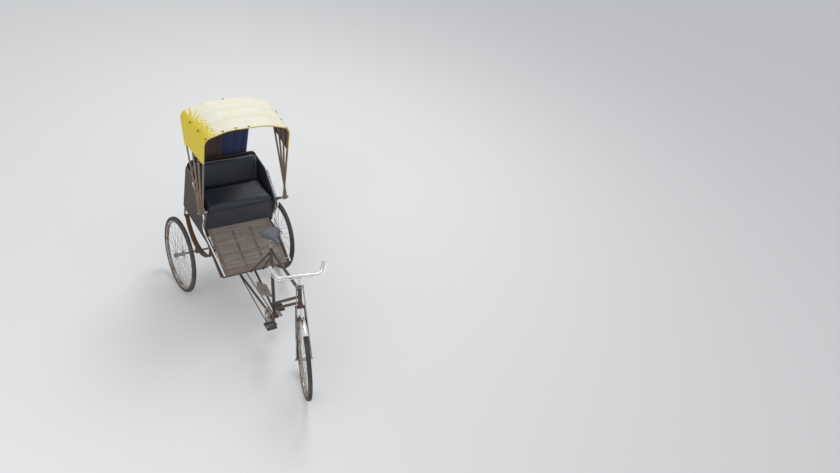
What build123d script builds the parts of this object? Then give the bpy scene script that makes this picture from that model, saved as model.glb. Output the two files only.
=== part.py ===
from build123d import *
import os
from math import atan, atan2, cos, degrees, pi, radians, sin, sqrt, tan

# A three-wheeled cycle rickshaw at rest, in millimetres
# +X is the rickshaw's left, -Y is forward, +Z is up, and the floor is at zero

# Running gear
wheelbase = 1575.0
rear_axle_y = 762.0
rear_track = 977.0
wheel_radius = 355.0
tyre_width = 38.0
tread_width = 16.0
tyre_shoulder_drop = 10.0
rim_radius = 322.0
rim_depth = 15.0
rim_width = 31.0
rim_inner_width = 22.0
spoke_radius = 1.4
spoke_sides = 4
spokes_per_row = 9
hub_flange_radius = 26.0
hub_barrel_radius = 16.0
hub_flange_width = 7.0
hub_flange_inset = 10.0
spoke_cross = 3
spoke_rim_offset = 5.0
spoke_row_spacing = 3.4
bearing_clearance = 0.05
face_clearance = 1.5

# Steering head
head_angle = 68.0
steer_rest_angle = 20.0
fork_rake = 48.0
fork_length = 454.0
steerer_radius = 12.7
head_tube_radius = 17.5
head_tube_start = 22.0
head_tube_length = 158.0
head_lug_radius = 21.0
head_lug_height = 16.0

# Front fork
fork_crown_width = 92.0
fork_crown_depth = 30.0
fork_crown_height = 18.0
fork_boss_height = 8.0
blade_radius = 9.0
blade_spread_top = 36.0
blade_spread_foot = 48.0
dropout_thickness = 5.0
dropout_radius = 15.0
front_axle_radius = 4.75
front_axle_half = 75.0
front_hub_half = 37.0
rear_hub_half = 44.0
crown_seat_gap = 1.0
steerer_rise = 18.0
blade_bend = 130.0
fork_stay_radius = 4.5
fork_stay_spread_top = 27.0
fork_stay_spread_foot = 64.0
fork_stay_forward = 28.0

# Handlebar and its brake levers
bar_forward = 44.0
bar_height = 298.0
bar_radius = 11.0
bar_half_width = 178.0
bar_end_half_width = 220.0
bar_sweep = 137.0
bar_bend = 55.0
stem_radius = 11.0
grip_radius = 15.5
grip_length = 98.0
lever_radius = 3.6
lever_gap = 9.0

# Front mudguard
mudguard_gap = 16.0
mudguard_width = 46.0
mudguard_thickness = 1.6
mudguard_arch = 9.0
mudguard_strap_width = 18.0
mudguard_strap_thickness = 4.0
guard_first_angle = -11.0
guard_sweep_angle = 45.0
stem_bend = 28.0
stem_clamp_half = 18.0
stem_clamp_wall = 4.0
stay_clip_gap = 6.0
stay_clip_thickness = 5.0
stay_clip_margin = 8.0
stay_clip_behind = 19.0
stay_eye_radius = 12.0
stay_strap_half = 6.0
stay_strap_reach = 24.0
stay_eye_thickness = 6.0
axle_nut_radius = 9.0
axle_nut_height = 6.0
grip_cap = 4.0
lever_clip_offset = 95.0
lever_clip_width = 12.0
lever_clip_wall = 2.5
lever_clip_height = 9.0

# Bicycle frame
bracket_ahead = 985.0
bracket_height = 300.0
bracket_shell_radius = 20.0
bracket_shell_half = 34.0
seat_lug_ahead = 765.0
seat_lug_height = 898.0
frame_tube_radius = 14.5
top_tube_radius = 13.0
down_tube_radius = 12.5
down_tube_spacing = 46.0
down_tube_seat_rise = 76.0
seat_lug_above = 22.0
strut_radius = 9.0
strut_spread = 60.0
strut_weld = 1.3
strut_foot_ahead = 4.0
stay_eye_half = 12.0
stay_eye_wall = 9.0
lower_stay_radius = 10.0
lower_stay_spread_front = 22.0
lower_stay_spread_rear = 112.0

# Saddle
seat_post_radius = 12.9
seat_post_rise = 142.0
seat_post_depth = 70.0
saddle_clamp_half = 22.0
saddle_clamp_radius = 15.0
saddle_length = 222.0
saddle_width = 212.0
saddle_lift = 2.7
saddle_forward = 56.0
saddle_shell = 46.0
socket_side_gap = 1.0
socket_end_gap = 3.0
saddle_nose_half = 20.0
saddle_nose_length = 96.0
saddle_wing_inset = 58.0
saddle_shoulder = 12.0
saddle_shoulder_fall = 6.0
saddle_crown_edge = 4.0
saddle_crown_inset = 8.0
saddle_corner = 18.0
saddle_rear_share = 0.7
saddle_wire_radius = 3.5
saddle_wire_sides = 6
saddle_wire_drop = 5.0
saddle_wire_reach = 24.0
saddle_wire_bend = 18.0
saddle_spring_x = 62.0
saddle_spring_inset = 30.0
saddle_spring_height = 28.0
saddle_spring_radius = 12.0
saddle_spring_core = 9.0
saddle_spring_coils = 3
saddle_coil_height = 5.0

# Pedals and chain drive
chain_pitch = 12.7
chainwheel_teeth = 48
sprocket_teeth = 24
chain_line = 48.0
tooth_thickness = 2.4
plate_thickness = 1.4
plate_gap = 3.4
plate_height = 8.6
roller_radius = 3.9
roller_sides = 4
roller_every = 2
tooth_reach = 4.2
chainwheel_windows = 5
chainwheel_window_centre = 56.0
chainwheel_window_radius = 24.0
sprocket_boss_half = 12.0
sprocket_boss_radius = 22.0
crank_root_half = 15.0
crank_tip_half = 9.0
crank_thickness = 11.0
crank_length = 165.0
crank_offset = 64.0
crank_axle_radius = 8.5
crank_angle = 25.0
pedal_width = 88.0
pedal_length = 84.0
pedal_height = 22.0
pedal_pin_radius = 5.0
pedal_gap = 6.0
pedal_plate = 3.0
chain_cover_rise = 187.0
chain_cover_right = 88.0
chain_cover_left = 6.0
chain_cover_start = 57.0
chain_cover_slant = 55.0
chain_cover_taper = 14.0
chain_cover_length = 290.0
chain_cover_skew = 70.0
chain_cover_thickness = 3.0

# Rear axle and springs
rear_axle_radius = 10.0
rear_axle_half = 545.0
spring_centre_x = 315.0
spring_half_span = 300.0
spring_rise = 150.0
leaf_width = 40.0
leaf_thickness = 6.0
leaf_count = 4
leaf_shortening = 0.2
leaf_eye_radius = 11.0
hanger_pin_radius = 6.0
hanger_half = 12.0
hanger_thickness = 5.0
bearing_block_width = 44.0
bearing_block_radius = 24.0

# Footboard
floor_front_ahead = 575.0
floor_front_height = 524.0
floor_back_ahead = 130.0
floor_back_height = 704.0
floor_half_width = 300.0
floor_border_width = 28.0
floor_front_border = 55.0
plank_thickness = 12.0
plank_rows = 3
plank_gap = 3.0
batten_offset = 85.0
batten_width = 16.0
batten_height = 4.0

# Passenger box
box_half_width = 346.0
panel_thickness = 10.0
box_bottom = 655.0
box_front_ahead = 125.0
seat_board_height = 889.0
cushion_height = 60.0
cushion_front_ahead = 155.0
cushion_depth = 335.0
cushion_half_width = 325.0
cushion_round = 22.0
soft_clearance = 1.0
back_angle = 15.0
back_height = 285.0
back_thickness = 60.0
back_corner = 60.0
rear_panel_thickness = 10.0
rear_panel_height = 1158.0
side_panel_height = 1098.0
side_panel_round = 14.0
panel_past_rail = 10.0
panel_behind_rail = 18.0
panel_over_rail = 12.0
panel_over_knee = 20.0

# Side rails
rail_radius = 7.5
rail_box_gap = 14.0
rail_top_behind = 110.0
rail_top_rise = 55.0
rail_arm_behind = 22.0
rail_arm_rise = 125.0
rail_arm_bend = 200.0
rail_past_cushion = 17.0
rail_over_board = 1.0
rail_front_bend = 45.0
rail_knee_gap = 2.0
rail_past_box = 8.0
rail_over_floor_back = 26.0
rail_knee_bend = 70.0
rail_floor_gap = 18.0
rail_past_floor = 15.0
rail_over_floor_front = 14.0
rail_lug_radius = 5.0
rail_lug_places = [0.05, 0.24]
rail_foot_place = 0.955
rail_foot_inset = 4.0
rail_foot_bend = 8.0

# Folding hood
hood_pivot_ahead = 200.0
hood_pivot_height = 970.0
hood_pin_radius = 6.0
front_bow_angle = 6.5
front_bow_radius = 765.0
second_bow_angle = 17.0
second_bow_radius = 797.0
third_bow_angle = 27.0
third_bow_radius = 853.0
rear_bow_angle = 36.7
rear_bow_radius = 936.0
bow_thickness = 7.0
bow_width = 26.0
bow_gap = 2.0
front_bow_x = 389.0
bow_foot = 16.0
bow_crown_drop = 62.0
bow_corner = 80.0
bow_shoulder = 0.45
bow_shoulder_bend = 500.0
hood_bracket_half = 12.0
hood_bracket_reach = 70.0
hood_bracket_drop = 70.0
hood_bracket_thickness = 4.0
sheet_gap = 12.0
sheet_thickness = 3.0
sheet_hem_height = 1450.0
curtain_thickness = 4.0
curtain_width = 255.0
curtain_bottom = 1105.0
curtain_top_gap = 2.4
curtain_ahead = 4.0
curtain_gap = 0.6

# Chassis
chassis_tube = 30.0
box_rear_behind = 325.0
seat_board_gap = 5.0
strut_top_drop = 30.0
batten_end_gap = 60.0

# Sizes that follow from the ones above
front_hub_y = rear_axle_y - wheelbase
bracket_y = rear_axle_y - bracket_ahead
wheel_x = rear_track / 2
head_lean = radians(90 - head_angle)
rest_turn = radians(steer_rest_angle)
wheel_lean = sin(rest_turn) * sin(head_lean)
lean_cos = sqrt(1 - wheel_lean**2)
front_hub_z = wheel_radius * lean_cos + tread_width / 2 * wheel_lean
crown_y = front_hub_y + fork_rake * cos(head_lean) + fork_length * sin(head_lean)
crown_z = front_hub_z - fork_rake * cos(rest_turn) * sin(head_lean) + fork_length * cos(head_lean)
steering_axis = Vector(0, sin(head_lean), cos(head_lean))
crown_point = Vector(0, crown_y, crown_z)

# The head plane looks up the steering axis, straight ahead, and the steer plane is turned with the fork
head = Plane(origin=crown_point, x_dir=(1, 0, 0), z_dir=steering_axis)
turned_x = head.x_dir.rotate(Axis((0, 0, 0), tuple(steering_axis)), -steer_rest_angle)
steer = Plane(origin=crown_point, x_dir=turned_x, z_dir=steering_axis)
hub_centre = steer.from_local_coords(Vector(0, -fork_rake, -fork_length))
front_hub = Plane(origin=hub_centre, x_dir=-steer.y_dir, z_dir=steer.x_dir)


# A round bar from one point to another
def rod(start, end, radius, mode=Mode.ADD):
    start = Vector(*start)
    end = Vector(*end)
    with BuildSketch(Plane(origin=start, z_dir=end - start)) as profile:
        Circle(radius)
    extrude(profile.sketch, amount=(end - start).length, mode=mode)


# A bar along straight runs joined by tangent bends, round unless a number of sides is given
def bent_rod(points, bends, radius, sides=0):
    with BuildLine() as route:
        FilletPolyline(*[tuple(Vector(*p)) for p in points], radius=bends)
    with BuildSketch(Plane(origin=route.line @ 0, z_dir=route.line % 0)) as profile:
        if sides:
            RegularPolygon(radius, sides)
        else:
            Circle(radius)
    sweep(profile.sketch, path=route.line)
    return route.line


# A point given in the turned fork's own frame
def on_fork(across, back, up):
    return steer.from_local_coords(Vector(across, back, up))


# A point of the straight-ahead steering head
def on_head(up):
    return head.from_local_coords(Vector(0, 0, up))


# A point given behind the rear axle and above the floor
def body_point(across, back, up):
    return Vector(across, rear_axle_y + back, up)



pieces = {}


# Wheel pieces about their own Z axis
def build_tyre():
    with BuildPart() as tyre:
        with BuildSketch(Plane.XZ) as section:
            with BuildLine():
                Polyline(
                    (rim_radius, -rim_width / 2),
                    (wheel_radius - tyre_shoulder_drop, -tyre_width / 2),
                    (wheel_radius, -tread_width / 2),
                    (wheel_radius, tread_width / 2),
                    (wheel_radius - tyre_shoulder_drop, tyre_width / 2),
                    (rim_radius, rim_width / 2),
                    close=True,
                )
            make_face()
        revolve(section.sketch, axis=Axis.Z)
    return tyre.part


def build_rim():
    with BuildPart() as rim:
        with BuildSketch(Plane.XZ) as section:
            with BuildLine():
                Polyline(
                    (rim_radius - rim_depth, -rim_inner_width / 2),
                    (rim_radius, -rim_width / 2),
                    (rim_radius, rim_width / 2),
                    (rim_radius - rim_depth, rim_inner_width / 2),
                    close=True,
                )
            make_face()
        revolve(section.sketch, axis=Axis.Z)
    return rim.part


# The hub's faceted flanges give each spoke its own seat, and spokes of two rows cross on the way out
def build_spokes(hub_half, bore_radius):
    facets = 2 * spokes_per_row
    flange_z = hub_half - hub_flange_inset
    seat = hub_flange_radius * cos(pi / facets) - 1
    cross_turn = 360 / facets * spoke_cross
    with BuildPart() as hub:
        Cylinder(hub_barrel_radius, 2 * hub_half)
        for flange_side in (1, -1):
            with BuildSketch(Plane.XY.offset(flange_side * flange_z)) as flange:
                RegularPolygon(hub_flange_radius, facets)
            extrude(flange.sketch, amount=hub_flange_width / 2, both=True)
            for row, turn_side in enumerate((1, -1)):
                row_lift = turn_side * spoke_row_spacing / 2
                start = Vector(seat, 0, flange_side * (flange_z + row_lift))
                foot = Vector(rim_radius - rim_depth, 0, flange_side * (spoke_rim_offset + row_lift))
                end = foot.rotate(Axis.Z, turn_side * cross_turn)
                start = start.rotate(Axis.Z, 180 / facets)
                end = end.rotate(Axis.Z, 180 / facets)
                with BuildSketch(Plane(origin=start, z_dir=end - start)) as section:
                    RegularPolygon(spoke_radius, spoke_sides)
                one = extrude(section.sketch, amount=(end - start).length, mode=Mode.PRIVATE)
                first = 360 / facets * (row + (0.5 if flange_side < 0 else 0))
                with PolarLocations(0, spokes_per_row, start_angle=first):
                    add(one)
        Cylinder(bore_radius, 2 * hub_half + 2, mode=Mode.SUBTRACT)
    return hub.part


# The front wheel turns on the axle held in the fork ends
front_wheel_parts = {
    "front_tyre": build_tyre(),
    "front_rim": build_rim(),
    "front_hub_spokes": build_spokes(front_hub_half, front_axle_radius + bearing_clearance),
}
for name, shape in front_wheel_parts.items():
    with BuildPart() as piece:
        with Locations(front_hub):
            add(shape)
    pieces[name] = piece

# The left wheel runs free on the axle and the right wheel is fixed to it
rear_wheels = [
    # name, side, bore radius
    ("left", 1, rear_axle_radius + bearing_clearance),
    ("right", -1, rear_axle_radius),
]
for name, side, bore in rear_wheels:
    rear_hub = Plane(origin=body_point(side * wheel_x, 0, wheel_radius), z_dir=(side, 0, 0))
    shapes = {
        f"rear_tyre_{name}": build_tyre(),
        f"rear_rim_{name}": build_rim(),
        f"rear_hub_spokes_{name}": build_spokes(rear_hub_half, bore),
    }
    for piece_name, shape in shapes.items():
        with BuildPart() as piece:
            with Locations(rear_hub):
                add(shape)
        pieces[piece_name] = piece

# Fork crown, steerer tube, blades and fork ends
with BuildPart() as fork:
    crown_low = head_tube_start - crown_seat_gap - fork_boss_height - fork_crown_height
    with BuildSketch(steer.offset(crown_low)):
        RectangleRounded(fork_crown_width, fork_crown_depth, fork_crown_depth / 2 - 1)
    extrude(amount=fork_crown_height)
    with BuildSketch(steer.offset(crown_low)):
        Circle(head_tube_radius)
    extrude(amount=fork_crown_height + fork_boss_height)
    with BuildSketch(steer.offset(crown_low)):
        Circle(steerer_radius)
    extrude(amount=head_tube_start + head_tube_length + steerer_rise - crown_low)
    for side in (1, -1):
        knee = fork_length * 0.62
        toe = on_fork(side * blade_spread_foot, -fork_rake, -fork_length)
        bent_rod(
            [
                on_fork(side * blade_spread_top, 0, crown_low + 5),
                on_fork(side * blade_spread_foot, 0, -knee),
                toe + steer.z_dir * dropout_radius * 0.4,
            ],
            [blade_bend],
            blade_radius,
        )
        with BuildSketch(Plane(origin=toe, x_dir=steer.y_dir, z_dir=steer.x_dir)) as dropout:
            Circle(dropout_radius)
        extrude(dropout.sketch, amount=dropout_thickness / 2, both=True)
    rod(
        on_fork(-front_axle_half, -fork_rake, -fork_length),
        on_fork(front_axle_half, -fork_rake, -fork_length),
        front_axle_radius,
        mode=Mode.SUBTRACT,
    )
pieces["fork"] = fork

# Axle and its nuts
with BuildPart() as front_axle:
    rod(
        on_fork(-front_axle_half, -fork_rake, -fork_length),
        on_fork(front_axle_half, -fork_rake, -fork_length),
        front_axle_radius,
    )
    for side in (1, -1):
        nut_place = on_fork(side * (fork_stay_spread_foot + fork_stay_radius), -fork_rake, -fork_length)
        with BuildSketch(Plane(origin=nut_place, z_dir=steer.x_dir * side)) as nut:
            RegularPolygon(axle_nut_radius, 6)
        extrude(nut.sketch, amount=axle_nut_height)
pieces["front_axle"] = front_axle

# Two straight stays brace the fork ends from a clip above the steering head
stay_top = head_tube_start + head_tube_length + stay_clip_gap
with BuildPart() as fork_stays:
    clip_front = -fork_stay_forward - stay_clip_margin
    with BuildSketch(steer.offset(stay_top)) as clip:
        with Locations((0, (clip_front + stay_clip_behind) / 2)):
            Rectangle(2 * (fork_stay_spread_top + stay_clip_margin), stay_clip_behind - clip_front)
        Circle(steerer_radius, mode=Mode.SUBTRACT)
    extrude(clip.sketch, amount=stay_clip_thickness)
    for side in (1, -1):
        top = on_fork(side * fork_stay_spread_top, -fork_stay_forward, stay_top + stay_clip_thickness / 2)
        foot = on_fork(side * fork_stay_spread_foot, -fork_rake, -fork_length + dropout_radius)
        rod(top, foot, fork_stay_radius)
        eye_across = fork_stay_spread_foot - stay_eye_thickness / 2
        eye_place = on_fork(side * eye_across, -fork_rake, -fork_length)
        with BuildSketch(Plane(origin=eye_place, x_dir=steer.y_dir, z_dir=steer.x_dir)) as eye:
            Circle(stay_eye_radius)
            with Locations((0, stay_strap_reach / 2)):
                Rectangle(2 * stay_strap_half, stay_strap_reach)
            Circle(front_axle_radius, mode=Mode.SUBTRACT)
        extrude(eye.sketch, amount=stay_eye_thickness / 2, both=True)
pieces["fork_stays"] = fork_stays

# Stem from the steerer forward to the bar clamp
bar_centre = on_fork(0, -bar_forward, bar_height)
stem_base = head_tube_start + head_tube_length + steerer_rise
with BuildPart() as stem:
    bent_rod(
        [on_fork(0, 0, stem_base), on_fork(0, 0, bar_height - 12), bar_centre],
        [stem_bend],
        stem_radius,
    )
    rod(
        bar_centre - steer.x_dir * stem_clamp_half,
        bar_centre + steer.x_dir * stem_clamp_half,
        bar_radius + stem_clamp_wall,
    )
    rod(
        bar_centre - steer.x_dir * (stem_clamp_half + 1),
        bar_centre + steer.x_dir * (stem_clamp_half + 1),
        bar_radius,
        mode=Mode.SUBTRACT,
    )
pieces["stem"] = stem

# The bar sweeps back level with the floor
bar_back = Vector(0, 0, 1).cross(steer.x_dir)


def on_bar(across, back, up):
    return bar_centre + steer.x_dir * across + bar_back * back + Vector(0, 0, up)


def bar_route(offset, back, up, end_half_width):
    return [
        on_bar(-end_half_width, bar_sweep - back, up),
        on_bar(-bar_half_width - offset, -back, up),
        on_bar(bar_half_width + offset, -back, up),
        on_bar(end_half_width, bar_sweep - back, up),
    ]


with BuildPart() as handlebar:
    bent_rod(bar_route(0, 0, 0, bar_end_half_width), [bar_bend, bar_bend], bar_radius)
pieces["handlebar"] = handlebar

# Grips are sleeves on the last stretch of the bar
with BuildPart() as grips:
    for side in (1, -1):
        tip = on_bar(side * bar_end_half_width, bar_sweep, 0)
        corner = on_bar(side * bar_half_width, 0, 0)
        along = (corner - tip).normalized()
        rod(tip - along * grip_cap, tip + along * grip_length, grip_radius)
        rod(tip, tip + along * (grip_length + 1), bar_radius, mode=Mode.SUBTRACT)
pieces["grips"] = grips

# Rod levers for the front brake follow the bar a little below and ahead of it
with BuildPart() as brake_levers:
    lever_ahead = bar_radius + lever_gap
    bent_rod(
        bar_route(lever_ahead * 0.6, lever_ahead, -lever_gap, bar_end_half_width + lever_ahead),
        [bar_bend + lever_ahead, bar_bend + lever_ahead],
        lever_radius,
    )
    for across in (-lever_clip_offset, lever_clip_offset):
        with BuildSketch(Plane(origin=on_bar(across, 0, 0), x_dir=bar_back, z_dir=steer.x_dir)) as clip:
            Circle(bar_radius + lever_clip_wall)
            with Locations((-lever_ahead / 2, -lever_gap / 2)):
                Rectangle(lever_ahead, lever_clip_height, rotation=degrees(atan2(lever_gap, lever_ahead)))
            Circle(bar_radius, mode=Mode.SUBTRACT)
        extrude(clip.sketch, amount=lever_clip_width / 2, both=True)
pieces["brake_levers"] = brake_levers

# Short mudguard arched across the tyre, on a strap under the crown
with BuildPart() as front_mudguard:
    guard_inner = wheel_radius + mudguard_gap
    guard_way = steer.z_dir.rotate(Axis((0, 0, 0), tuple(steer.x_dir)), guard_first_angle)
    guard_plane = Plane(origin=hub_centre, x_dir=guard_way, z_dir=guard_way.cross(steer.x_dir))
    with BuildSketch(guard_plane) as section:
        with BuildLine():
            for radius in (guard_inner, guard_inner + mudguard_thickness):
                ThreePointArc(
                    (radius, -mudguard_width / 2),
                    (radius + mudguard_arch, 0),
                    (radius, mudguard_width / 2),
                )
            for across in (-mudguard_width / 2, mudguard_width / 2):
                Line((guard_inner, across), (guard_inner + mudguard_thickness, across))
        make_face()
    guard_axis = Axis(tuple(hub_centre), tuple(steer.x_dir))
    revolve(section.sketch, axis=guard_axis, revolution_arc=guard_sweep_angle)
    strap_foot = sqrt(guard_inner**2 - fork_rake**2) + mudguard_arch - fork_length
    with BuildSketch(steer.offset(crown_low)) as strap:
        Rectangle(mudguard_strap_width, mudguard_strap_thickness)
    extrude(strap.sketch, amount=strap_foot - crown_low)
pieces["front_mudguard"] = front_mudguard


# Bicycle frame: head tube, seat tube, bottom bracket shell, top tube and two down tubes one above the other
bracket = Vector(0, bracket_y, bracket_height)
seat_lug = body_point(0, -seat_lug_ahead, seat_lug_height)
seat_line = (seat_lug - bracket).normalized()
with BuildPart() as bike_frame:
    rod(on_head(head_tube_start), on_head(head_tube_start + head_tube_length), head_tube_radius)
    for up in (head_tube_start, head_tube_start + head_tube_length - head_lug_height):
        rod(on_head(up), on_head(up + head_lug_height), head_lug_radius)
    rod(bracket, seat_lug + seat_line * seat_lug_above, frame_tube_radius)
    rod(
        bracket - Vector(bracket_shell_half, 0, 0),
        bracket + Vector(bracket_shell_half, 0, 0),
        bracket_shell_radius,
    )
    rod(seat_lug, on_head(head_tube_start + head_tube_length - 2 * head_lug_height), top_tube_radius)
    lower_start = bracket + seat_line * down_tube_seat_rise
    lower_end = on_head(head_tube_start + head_lug_height + 8)
    lower_line = (lower_end - lower_start).normalized()
    lift = Vector(1, 0, 0).cross(lower_line) * -down_tube_spacing
    upper_start = lower_start + lift - lower_line * down_tube_spacing * 0.3
    rod(lower_start, lower_end, down_tube_radius)
    rod(upper_start, lower_end + lift, down_tube_radius)
    rod(
        on_head(head_tube_start - 1),
        on_head(head_tube_start + head_tube_length + 1),
        steerer_radius + bearing_clearance,
        mode=Mode.SUBTRACT,
    )
    rod(
        bracket - Vector(bracket_shell_half + 1, 0, 0),
        bracket + Vector(bracket_shell_half + 1, 0, 0),
        crank_axle_radius + bearing_clearance,
        mode=Mode.SUBTRACT,
    )
    rod(
        seat_lug - seat_line * seat_post_depth,
        seat_lug + seat_line * (seat_lug_above + 1),
        seat_post_radius,
        mode=Mode.SUBTRACT,
    )
pieces["bike_frame"] = bike_frame

# Saddle post
post_top = seat_lug + seat_line * seat_post_rise
with BuildPart() as seat_post:
    rod(seat_lug - seat_line * seat_post_depth, post_top, seat_post_radius)
    rod(
        post_top - Vector(saddle_clamp_half, 0, 0),
        post_top + Vector(saddle_clamp_half, 0, 0),
        saddle_clamp_radius,
    )
pieces["seat_post"] = seat_post

# Saddle with a broad rear and a narrow nose
saddle_y = post_top.Y - saddle_forward
saddle_bottom = post_top.Z + saddle_lift
with BuildPart() as saddle:
    with BuildSketch(Plane.XY.offset(saddle_bottom)) as outline:
        with BuildLine():
            rear_y = saddle_y + saddle_length / 2
            nose_y = saddle_y - saddle_length / 2
            wing = (saddle_width / 2, rear_y - saddle_wing_inset)
            Polyline(
                (saddle_nose_half, nose_y),
                (saddle_nose_half, nose_y + saddle_nose_length),
                (wing[0], wing[1]),
                (wing[0] * saddle_rear_share, rear_y),
                (-wing[0] * saddle_rear_share, rear_y),
                (-wing[0], wing[1]),
                (-saddle_nose_half, nose_y + saddle_nose_length),
                (-saddle_nose_half, nose_y),
                close=True,
            )
        make_face()
        fillet(outline.vertices(), saddle_corner)
    extrude(outline.sketch, amount=saddle_shell)
    chamfer(saddle.faces().sort_by(Axis.Z)[-1].edges(), saddle_shoulder, saddle_shoulder_fall)
    chamfer(saddle.faces().sort_by(Axis.Z)[-1].edges(), saddle_crown_edge, saddle_crown_inset)
    socket_top = post_top.Z + saddle_clamp_radius + soft_clearance
    with BuildSketch(Plane.XY.offset(socket_top)) as socket:
        with Locations((0, post_top.Y)):
            Rectangle(
                2 * (saddle_clamp_half + socket_side_gap),
                2 * (saddle_clamp_radius + socket_end_gap),
            )
    extrude(socket.sketch, amount=saddle_bottom - saddle_clamp_radius - socket_top, mode=Mode.SUBTRACT)
    wire_x = saddle_clamp_half + saddle_wire_radius + bearing_clearance
    wire_z = post_top.Z - saddle_wire_drop
    spring_y = rear_y - saddle_spring_inset
    spring_foot = saddle_bottom - saddle_spring_height
    coil_step = (saddle_spring_height - saddle_coil_height) / (saddle_spring_coils - 1)
    for side in (1, -1):
        bent_rod(
            [
                (side * saddle_nose_half / 2, nose_y + saddle_nose_half, saddle_bottom + saddle_wire_radius),
                (side * wire_x, post_top.Y - saddle_wire_reach, wire_z),
                (side * wire_x, post_top.Y + saddle_wire_reach, wire_z),
                (side * saddle_spring_x, spring_y, spring_foot + saddle_wire_radius),
            ],
            [saddle_wire_bend, saddle_wire_bend],
            saddle_wire_radius,
            saddle_wire_sides,
        )
        with Locations((side * saddle_spring_x, spring_y, spring_foot)):
            Cylinder(saddle_spring_core, saddle_spring_height, align=(Align.CENTER, Align.CENTER, Align.MIN))
        for coil in range(saddle_spring_coils):
            with Locations((side * saddle_spring_x, spring_y, spring_foot + coil * coil_step)):
                Cylinder(saddle_spring_radius, saddle_coil_height, align=(Align.CENTER, Align.CENTER, Align.MIN))
pieces["saddle"] = saddle

# Cranks on their axle, with the toothed chainwheel on the right
crank_way = Vector(0, -cos(radians(crank_angle)), sin(radians(crank_angle)))
with BuildPart() as cranks:
    rod(
        bracket - Vector(crank_offset + 6, 0, 0),
        bracket + Vector(crank_offset + 6, 0, 0),
        crank_axle_radius,
    )
    for side in (1, -1):
        crank_plane = Plane(
            origin=bracket + Vector(side * (crank_offset - 5), 0, 0),
            x_dir=crank_way * -side,
            z_dir=(side, 0, 0),
        )
        with BuildSketch(crank_plane) as arm:
            with BuildLine():
                Polyline(
                    (0, -crank_root_half),
                    (crank_length, -crank_tip_half),
                    (crank_length, crank_tip_half),
                    (0, crank_root_half),
                    close=True,
                )
            make_face()
            Circle(crank_root_half + 2)
            with Locations((crank_length, 0)):
                Circle(crank_tip_half + 1)
                Circle(pedal_pin_radius, mode=Mode.SUBTRACT)
        extrude(arm.sketch, amount=crank_thickness)
pieces["cranks"] = cranks


# A toothed wheel's outline, with a tooth gap facing its local X axis
def tooth_outline(teeth):
    pitch_radius = chain_pitch / 2 / sin(pi / teeth)
    root = pitch_radius - roller_radius - 0.4
    tip = pitch_radius + tooth_reach
    Circle(root)
    with PolarLocations(0, teeth, start_angle=180 / teeth):
        with Locations((0, 0)):
            Polygon(
                (root - 2, -chain_pitch * 0.30),
                (root + 0.5, -chain_pitch * 0.24),
                (tip, -chain_pitch * 0.07),
                (tip, chain_pitch * 0.07),
                (root + 0.5, chain_pitch * 0.24),
                (root - 2, chain_pitch * 0.30),
                align=None,
            )


axle_point = body_point(0, 0, wheel_radius)
chain_run = axle_point - bracket
chain_side = Vector(-chain_line, 0, 0)
crank_drive = Plane(origin=bracket + chain_side, x_dir=-chain_run, z_dir=(1, 0, 0))
axle_drive = Plane(origin=axle_point + chain_side, x_dir=chain_run, z_dir=(1, 0, 0))
with BuildPart() as chainwheel:
    with BuildSketch(crank_drive) as blank:
        tooth_outline(chainwheel_teeth)
        with PolarLocations(chainwheel_window_centre, chainwheel_windows):
            Circle(chainwheel_window_radius, mode=Mode.SUBTRACT)
        Circle(crank_axle_radius, mode=Mode.SUBTRACT)
    extrude(blank.sketch, amount=tooth_thickness / 2, both=True)
pieces["chainwheel"] = chainwheel

# Live rear axle with its sprocket
with BuildPart() as rear_axle:
    rod(
        axle_point - Vector(rear_axle_half, 0, 0),
        axle_point + Vector(rear_axle_half, 0, 0),
        rear_axle_radius,
    )
    with BuildSketch(axle_drive) as blank:
        tooth_outline(sprocket_teeth)
    extrude(blank.sketch, amount=tooth_thickness / 2, both=True)
    for side in (-1, 1):
        rod(
            axle_point + Vector(-chain_line + side * tooth_thickness / 2, 0, 0),
            axle_point + Vector(-chain_line + side * sprocket_boss_half, 0, 0),
            sprocket_boss_radius,
        )
    for side in (1, -1):
        nut_place = axle_point + Vector(side * (wheel_x + rear_hub_half + face_clearance), 0, 0)
        with BuildSketch(Plane(origin=nut_place, z_dir=(side, 0, 0))) as nut:
            RegularPolygon(18, 6)
        extrude(nut.sketch, amount=10)
pieces["rear_axle"] = rear_axle

# Chain: side plates all round, rollers between them where they seat on the teeth
with BuildPart() as chain:
    wheel_radii = [
        # plane, pitch radius, teeth
        (crank_drive, chain_pitch / 2 / sin(pi / chainwheel_teeth), chainwheel_teeth),
        (axle_drive, chain_pitch / 2 / sin(pi / sprocket_teeth), sprocket_teeth),
    ]
    drive = Plane(origin=crank_drive.origin, x_dir=(0, 1, 0), z_dir=(1, 0, 0))
    far = drive.to_local_coords(axle_drive.origin)
    for side in (1, -1):
        with BuildSketch(drive.offset(side * (plate_gap + plate_thickness) / 2)) as loop:
            with BuildSketch(mode=Mode.PRIVATE) as outer:
                Circle(wheel_radii[0][1] + plate_height / 2)
                with Locations((far.X, far.Y)):
                    Circle(wheel_radii[1][1] + plate_height / 2)
                make_hull()
            with BuildSketch(mode=Mode.PRIVATE) as inner:
                Circle(wheel_radii[0][1] - plate_height / 2)
                with Locations((far.X, far.Y)):
                    Circle(wheel_radii[1][1] - plate_height / 2)
                make_hull()
            add(outer.sketch)
            add(inner.sketch, mode=Mode.SUBTRACT)
        extrude(loop.sketch, amount=plate_thickness / 2, both=True)
    for plane, pitch_radius, teeth in wheel_radii:
        step = 360 / teeth * roller_every
        seats = teeth // 2 // roller_every
        with BuildSketch(plane) as rollers:
            with PolarLocations(pitch_radius, seats, start_angle=-step * (seats - 1) / 2,
                                angular_range=step * (seats - 1), endpoint=True):
                RegularPolygon(roller_radius, roller_sides)
        extrude(rollers.sketch, amount=plate_gap / 2 + plate_thickness / 2, both=True)
pieces["chain"] = chain


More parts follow.
